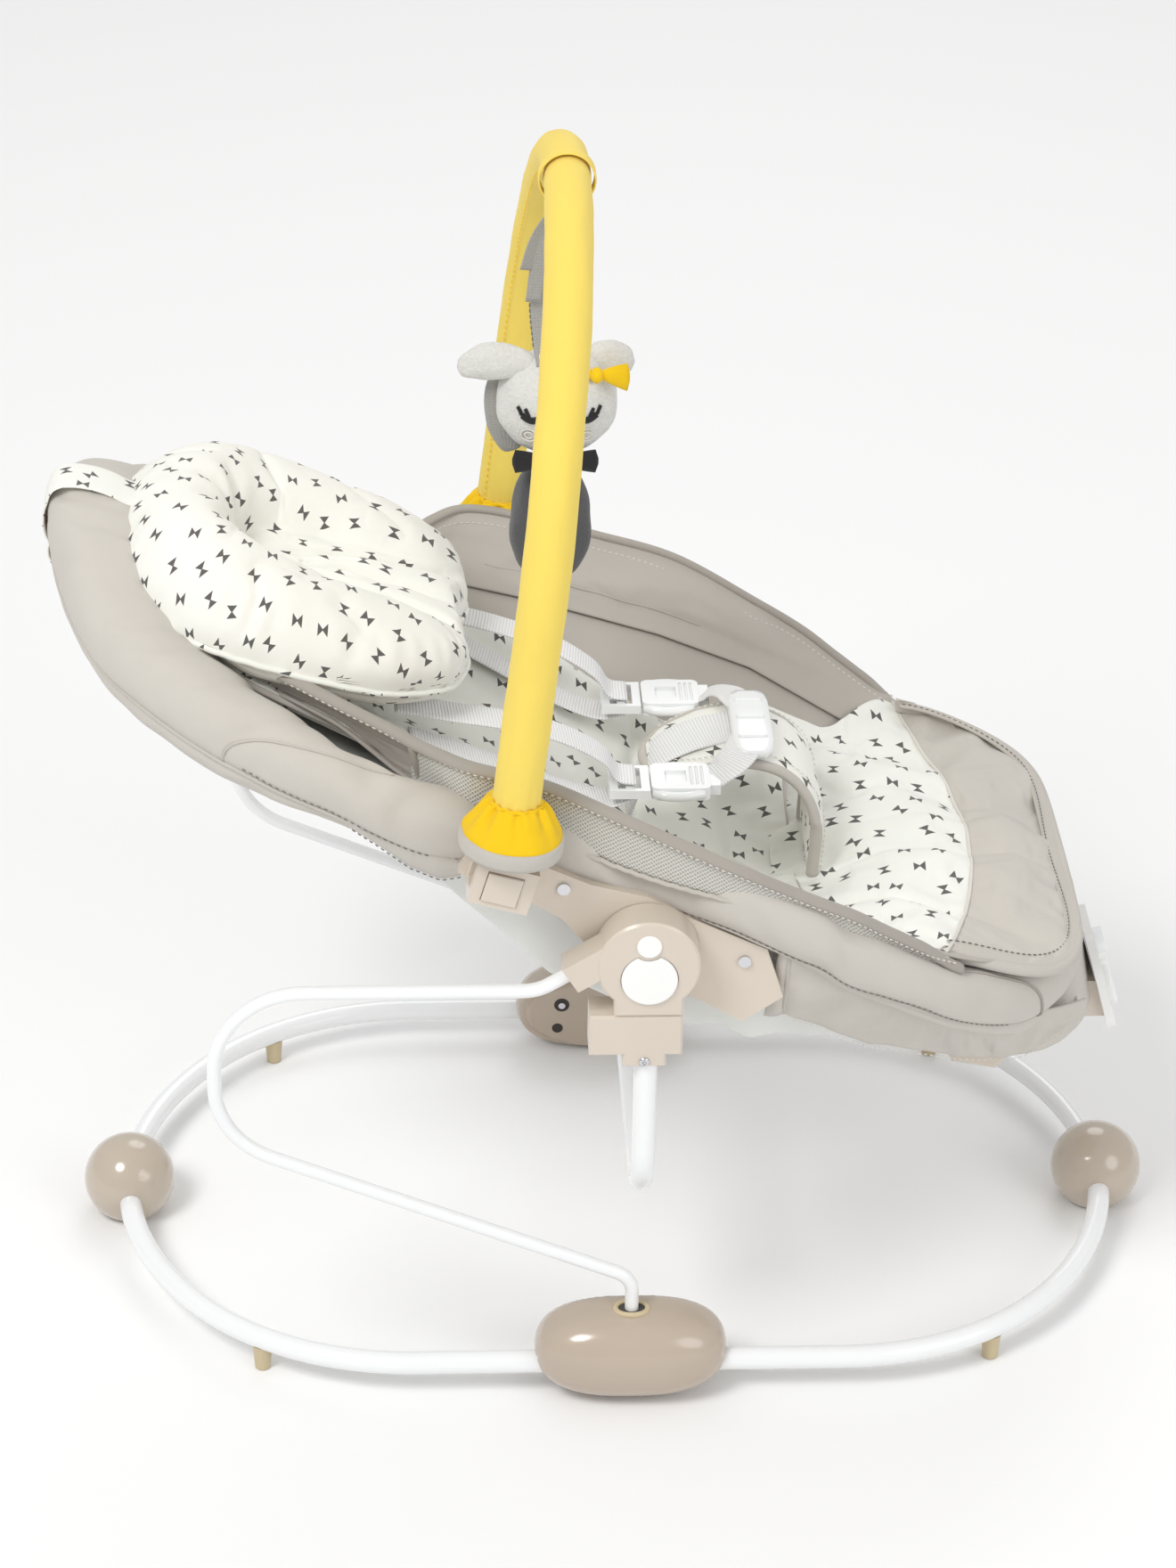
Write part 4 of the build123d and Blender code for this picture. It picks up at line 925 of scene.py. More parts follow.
NU2 = 44
P = np.zeros((NU2, NVV, 3))
arcl = np.concatenate([[0], np.cumsum(np.linalg.norm(np.diff(fanP[-1], axis=0), axis=1))])
arcl = 2 * arcl / arcl[-1] - 1
for j in range(NVV):
    t = -1 + 2 * j / (NVV - 1)
    a = np.array([np.interp(t, arcl, fanP[-1, :, k]) for k in range(3)])
    b = flap_edge(t)
    for i in range(NU2):
        u = i / (NU2 - 1)
        p = a * (1 - u) + b * u
        env = math.sin(math.pi * min(1, u)) ** 0.7 * (1 - abs(t) ** 6)
        f1 = math.exp(-((t + 0.52 + 0.10 * u) / 0.075) ** 2) + 0.8 * math.exp(-((t + 0.16 - 0.12 * u) / 0.06) ** 2) + 0.9 * math.exp(-((t - 0.24 + 0.1 * u) / 0.07) ** 2) + 0.7 * math.exp(-((t - 0.58) / 0.08) ** 2)
        g = 5.0 * f1 * (1 - 0.75 * u) - 2.0 * (0.5 + 0.5 * math.sin(13 * t + 2.0 * u)) + 1.6 * nz(t * 5, u * 2.0, 6)
        P[i, j] = p + arr(0, 0, 8 * math.sin(math.pi * u ** 0.75) * (1 - abs(t) ** 3)) + arr(0, 0, -g * env)
flap = grid("foot_flap", P, GREY, flip=False, body="seat", slot="grey_fabric", padded=0.4)
pin = np.zeros((NU2, NVV)); pin[0] = pin[-1] = 1; pin[-2:] = 1; pin[:, 0] = pin[:, -1] = 1
cloth(flap, pin.reshape(-1), pressure=0.6, grow=0.05, frames=18, cap=6.0, bend=0.5, relax=2)
solid(flap, 5.0, -1)
subdiv(flap, 1)
ts = np.linspace(-0.995, 0.995, 220)
edge = np.array([flap_edge(t) for t in ts])
cen = arr(222, 0, 280)
inw = cen - edge
inw[:, 2] = 0
inw = unit(inw)
# flat tape folded over the edge, rolled outer side, one row of stitches
tape = edge + inw * 4.0 + arr(0, 0, 3.0)
ribbon("foot_flap_tape", tape, 11.0, 2.4, BIND_LT, unit(arr(0, 0, 1) - 0.42 * inw), body="seat", slot="grey_fabric")
tube("foot_flap_binding", edge - inw * 1.4 + arr(0, 0, -0.8), 3.6, BIND_LT, seg=12, flat=1.1, body="seat", slot="grey_fabric")
stitches("foot_flap_stitch", edge + inw * 7.4 + arr(0, 0, 5.8), arr(0, 0, 1), THREAD_D, pitch=4.2, r=0.42, body="seat", slot="grey_fabric")
arc = fanP[-1] + arr(0, 0, 0.8)
tube("foot_fan_piping", arc, 1.2, THREAD, seg=6, body="seat", slot="print_fabric")

# ---------------------------------------------------------------- wrap under the foot end
low = [(94, 266, 172), (134, 243, 159), (150, 233, 151), (195, 213, 136), (237, 196, 121), (259, 195, 111), (285, 203, 99), (300, 209, 92)]
N1, N2 = 100, 71
P = np.zeros((N1, N2, 3))
xs = np.linspace(94, 300, N1)
for i, x in enumerate(xs):
    k = near_i(min(x, 270))
    w, zr, h = abs(C[k, 1]), C[k, 2], th[k]
    if x > 270:
        w = w * math.sqrt(max(0.08, 1 - ((x - 270) / 36.0) ** 2))
    zl, wl = [float(q) for q in lerp_table(low, x)]
    for j in range(N2):
        v = -1 + 2 * j / (N2 - 1)
        a = abs(v)
        if a > 0.62:
            q = (a - 0.62) / 0.38
            y = wl + (max(w, wl) + 7 - wl) * q ** 0.8
            z = zl + (zr - h * 0.35 - zl) * q
        else:
            q = a / 0.62
            y = wl * q
            z = zl - 5 * math.cos(q * math.pi / 2)
        z += 1.6 * nz(x * 0.03, v * 4, 12)
        y += 2.2 * nz(x * 0.022 + a * 1.5, a * 2.5, 2) * (a > 0.5)
        P[i, j] = (x, math.copysign(y, v), z)
wrap = grid("foot_wrap", P, GREY, flip=True, body="seat", slot="grey_fabric", sheet=("hung", ["left_rim_pad", "right_rim_pad"]))
pin = np.zeros((N1, N2)); pin[0] = pin[-1] = 1; pin[:, :5] = 1; pin[:, -5:] = 1; pin[:, 28:43] = 1
cloth(wrap, pin.reshape(-1), pressure=0.0, grow=0.05, frames=14, cap=5.0, bend=0.5, relax=2)
wrapP = coords(wrap).reshape(N1, N2, 3) / MM
solid(wrap, 2.0)
subdiv(wrap, 1)
tube("foot_wrap_hem", wrapP[0], 1.8, BIND_LT, seg=8, body="seat", slot="grey_fabric")
for s_, j_ in ((-1, 13), (1, N2 - 14)):
    q = wrapP[3:-6, j_] + arr(0, s_ * 1.2, -1.2)
    stitches("foot_wrap_stitch_%s" % ("l" if s_ < 0 else "r"), q, arr(0, s_ * 0.7, -0.7), THREAD, pitch=4.6, body="seat", slot="grey_fabric")
# folded end of the wrap beside the rail
for s_ in (-1, 1):
    f0 = wrapP[0, 0 if s_ < 0 else N2 - 1]
    f1 = wrapP[0, 13 if s_ < 0 else N2 - 14]
    Q = np.zeros((10, 16, 3))
    for i in range(10):
        u = i / 9
        for j in range(16):
            v = j / 15
            base_ = f0 * (1 - v) + f1 * v
            Q[i, j] = base_ + arr(-12 * u * (0.4 + 0.6 * v), s_ * (2.5 * math.sin(math.pi * u) - 3.0 * u), -4 * u * v)
    fl = grid("foot_wrap_fold_%s" % ("l" if s_ < 0 else "r"), Q, GREY, flip=(s_ < 0), body="seat", slot="grey_fabric", sheet=("folded", ["foot_wrap"]))
    solid(fl, 1.6)

# rounded cap of the foot end behind the control panel
ys = np.linspace(-1, 1, 64)
P = np.zeros((64, 24, 3))
for i, v in enumerate(ys):
    y = 104 * v
    k = np.arange(0, NL // 2 + 1)
    k = int(k[np.argmin(np.abs(C[k, 1] + abs(y)) + 1e3 * (C[k, 0] < 200))])
    xr, zr = C[k, 0], C[k, 2]
    inn_ = max(0.0, 1 - abs(v) ** 2.6)
    path = catmull([(xr + 12, 0, zr + 24), (xr + 15 + 4 * inn_, 0, zr + 4), (xr + 13 + 8 * inn_, 0, 224), (xr + 10 + 17 * inn_, 0, 204 - 4 * inn_), (xr + 4 + 26 * inn_, 0, 192 - 15 * inn_), (xr - 2 + 12 * inn_, 0, 188 - 23 * inn_), (xr - 30, 0, 192 - 22 * inn_)], 24)
    for j in range(24):
        P[i, j] = path[j] + arr(1.0 * nz(y * 0.05, j * 0.15, 4), y, 0)
fc = grid("foot_end_cap", P, GREY, flip=False, body="seat", slot="grey_fabric", sheet=("stretched", ["left_rim_pad", "right_rim_pad"]))
solid(fc, 2.0)
subdiv(fc, 1)

# white lining that hangs in loose folds below the rails
z150 = [(-132, 384), (-124, 356), (-85, 313), (-53, 282), (-20, 264), (20, 245), (35, 239), (55, 243), (75, 230), (110, 233), (140, 240)]
for s_, tag in ((-1, "left"), (1, "right")):
    P = np.zeros((80, 30, 3))
    for i, x in enumerate(np.linspace(-132, 140, 80)):
        k = near_i(x)
        zt, wt = C[k, 2] - th[k] * 0.8, abs(C[k, 1]) - 6
        zl = float(lerp_table(z150, x)[0])
        zh = float(lerp_table(TROUGH, x)[2]) - 2
        for j in range(30):
            u = j / 29
            if u < 0.6:
                q = u / 0.6
                y, z = wt + (150 - wt) * q, zt + (zl - zt) * q
            else:
                q = (u - 0.6) / 0.4
                y, z = 150 + (74 - 150) * q, zl + (max(zh, zl + 6) - zl) * q ** 0.7
            y += (3.0 * nz(x * 0.03 + u, u * 2.0, 3 + s_) + 2.0 * math.sin(x * 0.11 + 2 * u)) * math.sin(math.pi * u)
            P[i, j] = (x, s_ * y, z)
    lg = grid("%s_under_lining" % tag, P, LINING, flip=(s_ > 0), body="seat", slot="grey_fabric", sheet=("hung", ["%s_rim_pad" % tag]))
    solid(lg, 1.0)
    subdiv(lg, 1)
    # gathered lower edge of the back cover beside the toy bar
    bt = [(-200, 424), (-180, 408), (-162, 394), (-140, 377), (-122, 369), (-110, 371), (-103, 384)]
    P = np.zeros((40, 14, 3))
    for i, x in enumerate(np.linspace(-200, -103, 40)):
        k = near_i(x)
        zr, w, h = C[k, 2], abs(C[k, 1]), th[k]
        zl = float(lerp_table(bt, x)[0])
        for j in range(14):
            u = j / 13
            y = w + 11 * math.cos(u * math.pi * 0.9) + 1.2 * nz(x * 0.06, u * 3, 5)
            z = (zr - h * 0.55) * (1 - math.sin(u * math.pi)) + (zl if u < 0.5 else zl + 4 * (u - 0.5)) * math.sin(u * math.pi)
            P[i, j] = (x, s_ * y, z)
    bp = grid("%s_back_hem" % tag, P, GREY, flip=(s_ > 0), body="seat", slot="grey_fabric", sheet=("gathered", ["%s_rim_pad" % tag]))
    solid(bp, 1.8)
    subdiv(bp, 1)
    stitches("%s_back_hem_stitch" % tag, P[1:-1, 5] + arr(0, s_ * 1.6, -0.6), arr(0, s_, -0.4), THREAD_D, pitch=4.4, body="seat", slot="grey_fabric")

# ---------------------------------------------------------------- head pillow
A_DIR, N_DIR = arr(0.958, 0, -0.287), arr(0.287, 0, 0.958)
ORG = arr(-219, 0, 477)

def u_center():
    pts = [(128, -74), (70, -76), (15, -76), (-36, -69), (-70, -40), (-80, 0), (-70, 40), (-36, 69), (15, 76), (70, 76), (128, 74)]
    return catmull([(a, b, 0) for a, b in pts], 240)[:, :2]

UC = u_center()

def pillow_h(a, b):
    d2 = ((UC - np.array([a, b])) ** 2).sum(1)
    d = math.sqrt(d2.min())
    R = 42.0
    crest = float(np.interp(a, [-120, -60, 0, 60, 110, 130], [58, 56, 46, 39, 30, 22]))
    ridge = crest * math.sqrt(max(0.0, 1 - (d / R) ** 2)) ** 0.75 if d < R else 0.0
    tongue = 0.0
    if abs(b) < 58 and -50 < a < 126:
        e = min(1.0, (1 - (abs(b) / 58) ** 3)) * float(smooth(-50, -6, a)) * (1 - float(smooth(104, 124, a)))
        tongue = 23 * max(0.0, e) ** 0.5
        sp = (a + 46) / 150.0
        ch = sum(math.exp(-((b - q * sp * 58) / 3.2) ** 2) for q in (-0.62, 0.0, 0.62)) * float(smooth(-26, 8, a)) * (1 - float(smooth(92, 112, a)))
        tongue *= 1 - 0.30 * ch
    # soft maximum, so that the roll flows into the middle
    k = 4.0
    m_ = max(ridge, tongue)
    return max(3.0, m_ + k * math.log(math.exp((ridge - m_) / k) + math.exp((tongue - m_) / k)) - k * math.log(2.0) * math.exp(-abs(ridge - tongue) / k))

def outline(t):
    a = t * 2 * math.pi
    x = math.cos(a)
    y = math.sin(a)
    aa = 124 * math.copysign(abs(x) ** 0.62, x) if x > 0 else 124 * math.copysign(abs(x) ** 0.95, x)
    bb = 113 * math.copysign(abs(y) ** 0.72, y)
    if x > 0:
        aa -= 12 * math.exp(-(bb / 30.0) ** 2) - 5 * math.exp(-((abs(bb) - 88) / 16.0) ** 2)
        bb *= 1 - 0.10 * float(smooth(60, 124, aa))
    return aa, bb

NA, NR = 220, 50
Ptop = np.zeros((NR, NA, 3))
Pbot = np.zeros((NR, NA, 3))
for k in range(NA):
    oa, ob_ = outline(k / NA)
    for r in range(NR):
        f = (r / (NR - 1)) ** 0.8
        a, b = oa * f + (1 - f) * 6, ob_ * f
        h = pillow_h(a, b)
        e = max(0.0, 1 - f ** 9) ** 0.5
        rad, ang = math.hypot(a + 34, b), math.atan2(b, -(a + 34))
        pucker = 2.4 * math.cos(ang * 9 + 0.6 * nz(ang, 2.0, 5.0)) * math.exp(-((rad - 26) / 17) ** 2) * float(smooth(1.9, 1.2, abs(ang)))
        edgep = 0.9 * math.sin(k * 2 * math.pi / NA * 46 + 2.0 * nz(k * 0.05, 1, 2)) * math.exp(-((f - 0.93) / 0.06) ** 2)
        crease = -1.8 * max(0.0, 1 - 2.6 * abs(nz(a * 0.016 + b * 0.006, b * 0.022, 14.0))) ** 3
        pos = ORG + A_DIR * a + arr(0, b, 0)
        Ptop[r, k] = pos + N_DIR * (h * e + 5 + pucker + edgep + (crease + 1.2 * nz(a * 0.03, b * 0.03, 1.7)) * e)
        bz = float(pad_top(pos[0], pos[1], 28.0))
        dn = min(14.0, max(2.0, (pos[2] - bz)))
        Pbot[r, k] = pos - N_DIR * (dn * e) + N_DIR * 5 * (1 - e)
ARC = np.concatenate([np.zeros((1, NA)), np.cumsum(np.linalg.norm(np.diff(Ptop, axis=0), axis=2), axis=0)], 0)
V = np.concatenate([Ptop[1:].reshape(-1, 3), Pbot[1:-1][::-1].reshape(-1, 3), Ptop[:1, :1].reshape(-1, 3), Pbot[:1, :1].reshape(-1, 3)], 0)
rows = (NR - 1) + (NR - 2)
F = []
UVs = []
def pil_uv(r, k):
    k = k % NA
    oa, ob_ = outline(k / NA)
    th_ = math.atan2(ob_, oa - 6)
    if r < NR - 1:
        q = ARC[r + 1, k] * MM
        return (q * math.cos(th_), q * math.sin(th_))
    q = NR - 2 - (r - (NR - 1))
    f = (q / (NR - 1)) ** 0.8
    return (0.4 + oa * f * MM, ob_ * f * MM)
for r in range(rows - 1):
    for k in range(NA):
        k2 = (k + 1) % NA
        F.append((r * NA + k, (r + 1) * NA + k, (r + 1) * NA + k2, r * NA + k2))
        UVs += [pil_uv(r, k), pil_uv(r + 1, k), pil_uv(r + 1, k2), pil_uv(r, k2)]
ct, cb = rows * NA, rows * NA + 1
for k in range(NA):
    k2 = (k + 1) % NA
    F.append((ct, k, k2))
    UVs += [(0.0, 0.0), pil_uv(0, k), pil_uv(0, k2)]
    F.append((cb, (rows - 1) * NA + k2, (rows - 1) * NA + k))
    UVs += [(0.4, 0.0), pil_uv(rows - 1, k2), pil_uv(rows - 1, k)]
pillow = make("head_pillow_cover", V, F, PRINT, uv=UVs, body="seat", slot="print_fabric", replaces=("head_pillow",), padded=0.75)
pin = np.zeros(len(V))
for k in range(NA):
    for r in range(NR - 1):
        oa, ob_ = outline(k / NA)
        f = ((r + 1) / (NR - 1)) ** 0.8
        a, b = oa * f + (1 - f) * 6, ob_ * f
        if r == NR - 2 or pillow_h(a, b) < 8:
            pin[r * NA + k] = 1
pin[(NR - 1) * NA:] = 1
cloth(pillow, pin, pressure=3.5, grow=0.03, frames=16, cap=5.0, bend=0.5, relax=1)
subdiv(pillow, 1)
oc = np.array([Ptop[-1, k] for k in range(NA)])
tube("head_pillow_piping", oc - N_DIR * 1.0, 2.0, PRINT, closed=True, seg=8, body="seat", slot="print_fabric")

# band of the pillow round the head end
i0 = int(np.argmin(C[:, 0]))
sect = rimP[i0]
ctr = sect.mean(0)
ringp = sect + unit(sect - ctr) * 1.8
order = [(NS // 2 - 7 - k) % NS for k in range(NS - 4)]
ringp = catmull(ringp[order], 90)
nrm = unit(ringp - ctr)
ribbon("pillow_band", ringp, 34.0, 1.6, PRINT, nrm, body="seat", slot="print_fabric", sheet=("stretched", ["rim_pad"]))

# ---------------------------------------------------------------- crotch pad
spine = catmull([(16, 0, 355), (40, 0, 364), (78, 0, 370.5), (108, 0, 358), (123, 0, 330), (123, 0, 286)], 70)
Tn = np.gradient(spine, axis=0)
Tn = unit(Tn)
Nn = np.stack([-Tn[:, 2], 0 * Tn[:, 0], Tn[:, 0]], -1)
width = np.interp(np.linspace(0, 1, 70), [0, 0.06, 0.2, 0.5, 0.75, 1.0], [30, 56, 76, 74, 84, 72])
prof = np.linspace(0, 2 * np.pi, 40, endpoint=False)
P = np.zeros((70, 40, 3))
for i in range(70):
    for j, a in enumerate(prof):
        c, s = math.cos(a), math.sin(a)
        yy = width[i] / 2 * math.copysign(abs(c) ** 0.6, c)
        hh = (6.5 if s > 0 else 4.5) * math.copysign(abs(s) ** 0.8, s) * (0.55 + 0.45 * math.sin(math.pi * min(1, max(0, i / 69))) ** 0.4)
        P[i, j] = spine[i] + arr(0, yy, 0) + Nn[i] * (hh + 0.9 * nz(i * 0.13, yy * 0.06, 3))
cp = grid("crotch_pad_cover", P, PRINT, cv=True, flip=False, body="seat", slot="print_fabric", replaces=("crotch_pad",), padded=0.6)
subdiv(cp, 1)
for s in (-1, 1):
    e = spine + np.stack([0 * width, s * width / 2, 0 * width], -1)
    tube("crotch_binding_%s" % ("l" if s < 0 else "r"), e, 4.2, BIND_LT, seg=12, flat=0.8, body="seat", slot="grey_fabric")
    e2 = e - arr(0, s * 4.5, 0) + Nn * 5.6
    stitches("crotch_stitch_%s" % ("l" if s < 0 else "r"), e2[4:], Nn[4:], THREAD, body="seat", slot="grey_fabric")
tipc = np.stack([spine[0] + arr(-3 * math.cos(a) ** 2, 15 * math.sin(a), 0) for a in np.linspace(-math.pi / 2, math.pi / 2, 24)])
tube("crotch_binding_tip", tipc, 4.0, BIND_LT, seg=12, flat=0.8, body="seat", slot="grey_fabric")
# wide webbing from the pad down to the seat
wl = catmull([(84, 0, 378.5), (62, 0, 375.5), (40, -4, 371.5), (20, -9, 362), (8, -13, 344), (2, -15, 326)], 50)
nw = unit(np.cross(np.gradient(wl, axis=0), arr(0, -1, 0)))
ribbon("crotch_webbing_band", wl, 40.0, 2.0, WEB, nw, body="seat", slot="white_webbing", replaces=("crotch_webbing",), sheet=("hung", ["crotch_pad_cover"]))

# moulded bridge that carries the buckle halves
yb = np.linspace(-41, 41, 40)
bq = np.array([(82, y_, 381 - 0.0016 * y_ * y_) for y_ in yb])
ribbon("harness_bridge", bq, np.interp(np.abs(yb), [0, 26, 36, 41], [27, 27, 24, 15]), 6.0, CLEAR, arr(0, 0, 1), body="seat", slot="clear_plastic")
for k_, yy in enumerate((-24.0, 0.0, 24.0)):
    sl_ = np.array([(82 + q_, yy, 384.0 - 0.0016 * yy * yy) for q_ in np.linspace(-9, 9, 10)])
    tube("harness_bridge_rib_%d" % k_, sl_, 1.5, CLEAR, seg=8, body="seat", slot="clear_plastic")

# ---------------------------------------------------------------- harness straps
for s, tag in ((-1, "left"), (1, "right")):
    up_ = catmull([(-150, s * 70, 436), (-118, s * 68, 428), (-80, s * 64, 419), (-45, s * 60, 407), (-18, s * 57, 390), (-8, s * 56, 376), (4, s * 56, 373.2)], 70)
    dn_ = catmull([(4, s * 56, 362.4), (-14, s * 58, 358), (-40, s * 62, 366), (-74, s * 68, 384), (-108, s * 74, 402), (-140, s * 78, 415)], 60)
    nu_ = unit(np.cross(np.gradient(up_, axis=0), arr(0, -1, 0)))
    nd_ = unit(np.cross(np.gradient(dn_, axis=0), arr(0, -1, 0)))
    nd_ = nd_ * np.sign(nd_[:, 2:3])
    nu_ = nu_ * np.where(nu_[:, 2:3] == 0, 1, np.sign(nu_[:, 2:3]))
    ribbon("%s_strap_upper" % tag, up_, 25.0, 1.9, WEB, nu_, body="seat", slot="white_webbing", replaces=("%s_strap" % tag,), sheet=("hung", ["strap_adjusters", "seat_pad_cover"]))
    ribbon("%s_strap_lower" % tag, dn_, 25.0, 1.9, WEB, nd_, body="seat", slot="white_webbing", sheet=("hung", ["strap_adjusters", "seat_pad_cover"]))
    br = catmull([(54, s * 55, 370), (64, s * 50, 376), (72, s * 40, 379.5), (79, s * 22, 380.5)], 24)
    ribbon("%s_buckle_tab" % tag, br, 24.0, 1.9, WEB, arr(0.1, 0, 1), body="seat", slot="white_webbing", sheet=("hung", ["%s_buckle" % tag, "harness_bridge"]))
    # prongs and rib grip of the side release buckle
    for k_, yy in enumerate((-19.0, 19.0)):
        pr = catmull([(16, s * 56 + yy * 0.72, 368), (24, s * 56 + yy * 0.98, 368), (36, s * 56 + yy, 368), (48, s * 56 + yy * 0.8, 368)], 20)
        tube("%s_buckle_prong_%d" % (tag, k_), pr, 3.0, CLEAR, seg=10, flat=1.1, body="seat", slot="clear_plastic")
    for k_, xx in enumerate((40.0, 43.5, 47.0)):
        rb_ = np.array([(xx, s * 56 + q_, 372.7 - 0.02 * q_ * q_ * 0.1) for q_ in np.linspace(-11, 11, 12)])
        tube("%s_buckle_rib_%d" % (tag, k_), rb_, 0.9, CLEAR, seg=8, body="seat", slot="clear_plastic")

# ---------------------------------------------------------------- toy bar: sleeve, gathers, skirts
LEAN = arr(0.11, 0, 1) / math.hypot(0.11, 1)
BP = arr(-82, 0, 398)
def hoop(n, v0):
    pts = []
    L1 = 160 - v0
    La = math.pi * 208
    tot = 2 * L1 + La
    for s in np.linspace(0, tot, n):
        if s < L1:
            pts.append((-208, v0 + s))
        elif s < L1 + La:
            a = (s - L1) / 208
            pts.append((-208 * math.cos(a), 160 + 204 * math.sin(a)))
        else:
            pts.append((208, 160 - (s - L1 - La)))
    return np.array([BP + arr(0, y, 0) + LEAN * v for y, v in pts])

hc = hoop(260, 44)
Tn = np.gradient(hc, axis=0); Tn = unit(Tn)
FWD = np.cross(LEAN, arr(0, 1, 0)); FWD = FWD / np.linalg.norm(FWD)
Sd = np.cross(Tn, FWD)
NSV = 36
P = np.zeros((260, NSV, 3))
for i in range(260):
    e = min(i, 259 - i) / 259.0
    r = 14.7 - 0.8 * math.exp(-e * 90)
    for j in range(NSV):
        a = 2 * math.pi * j / NSV
        w = 0.6 * nz(i * 0.05, math.cos(a), math.sin(a)) + 0.5 * nz(i * 0.14, 2 * math.cos(a), 2 * math.sin(a) + 5)
        g = 1.1 * math.exp(-e * 60) * math.sin(13 * a)
        P[i, j] = hc[i] + (r + w + g) * (math.cos(a) * Sd[i] + math.sin(a) * FWD)
sleeve = grid("toy_bar_sleeve_cover", P, YELLOW, cv=True, body="toy_bar", slot="yellow_fabric", replaces=("toy_bar_sleeve",), padded=0.8)
q = np.stack([hc[i] + 15.7 * (math.cos(2.4) * Sd[i] + math.sin(2.4) * FWD) for i in range(260)])
stitches("toy_bar_seam", q, unit(q - hc), YELLOW_D, pitch=4.6, body="toy_bar", slot="yellow_fabric")
for s, tag in ((-1, "left"), (1, "right")):
    base = BP + arr(0, s * 208, 0)
    NSK, NT = 120, 18
    P = np.zeros((NT, NSK, 3))
    band = np.zeros((6, NSK, 3))
    for j in range(NSK):
        a = 2 * math.pi * j / NSK
        inward = max(0.0, -s * math.sin(a))
        for i in range(NT):
            t = i / (NT - 1)
            r = 14.6 + 15.8 * (t ** 0.75)
            fold = (1.9 * math.sin(9 * a + 1.3 * math.sin(2 * a)) * (1 - t) ** 0.6 + 1.3 * math.sin(14 * a + 2) * (1 - t) ** 2 + 0.9 * nz(math.cos(a) * 2, math.sin(a) * 2, t * 3))
            rr = r + fold
            lim = 18.6
            y = math.sin(a) * rr
            if -s * y > lim:
                y = -s * lim
            P[i, j] = base + LEAN * (46 - 22.0 * t) + FWD * (math.cos(a) * rr) + arr(0, y, 0)
        for i in range(6):
            t = i / 5
            rr = 30.6 + 0.8 * math.sin(math.pi * t)
            y = math.sin(a) * rr
            if -s * y > 19.0:
                y = -s * 19.0
            band[i, j] = base + LEAN * (25.0 - 11.0 * t) + FWD * (math.cos(a) * rr) + arr(0, y, 0)
    sk = grid("%s_skirt_cloth" % tag, P, YELLOW_D, cv=True, flip=True, body="toy_bar", slot="yellow_fabric", replaces=(("toy_bar_skirts",) if s < 0 else ()), sheet=("gathered", ["toy_bar_sleeve_cover"]))
    solid(sk, 1.4)
    subdiv(sk, 1)
    bd = grid("%s_skirt_band" % tag, band, BIND_LT, cv=True, flip=True, body="toy_bar", slot="grey_fabric", sheet=("stretched", ["%s_skirt_cloth" % tag]))
    solid(bd, 2.0)
    ln = band[1] + FWD * 0
    ctr = base + LEAN * 22
    stitches("%s_skirt_stitch" % tag, np.vstack([band[1], band[1][:1]]), unit(np.vstack([band[1], band[1][:1]]) - ctr), THREAD, body="toy_bar", slot="grey_fabric")
    gath = np.array([base + LEAN * 45.5 + (14.9 + 0.8 * math.sin(13 * a)) * (math.cos(a) * FWD + math.sin(a) * arr(0, 1, 0)) for a in np.linspace(0, 2 * math.pi, 90, endpoint=False)])
    tube("%s_gather" % tag, gath, 1.6, YELLOW_D, closed=True, seg=8, up=tuple(LEAN), body="toy_bar", slot="yellow_fabric")

# ---------------------------------------------------------------- hanging plush
TX = -47.0
def ellipsoid(name, c, r, mat, body="toy", nu=40, nv=28, bumpy=0.0, pw=1.0, seed=0.0, shape=None, **kw):
    P = np.zeros((nu, nv, 3))
    for i in range(nu):
        a = 2 * math.pi * i / nu
        for j in range(nv):
            b = -math.pi / 2 + math.pi * (j + 0.02) / (nv - 1 + 0.04)
            d = arr(math.cos(b) * math.cos(a), math.cos(b) * math.sin(a), math.sin(b))
            k = 1 + bumpy * nz(*(d * 2.2 + seed)) 
            q = d * k
            if shape:
                q = shape(q)
            P[i, j] = arr(*c) + q * arr(*r)
    return grid(name, P, mat, cu=True, body=body, **kw)

def head_shape(q):
    x, y, z = q
    k = 1 + 0.10 * max(0, -z)
    return arr(x * k, y, z * (0.95 if z > 0 else 0.92))

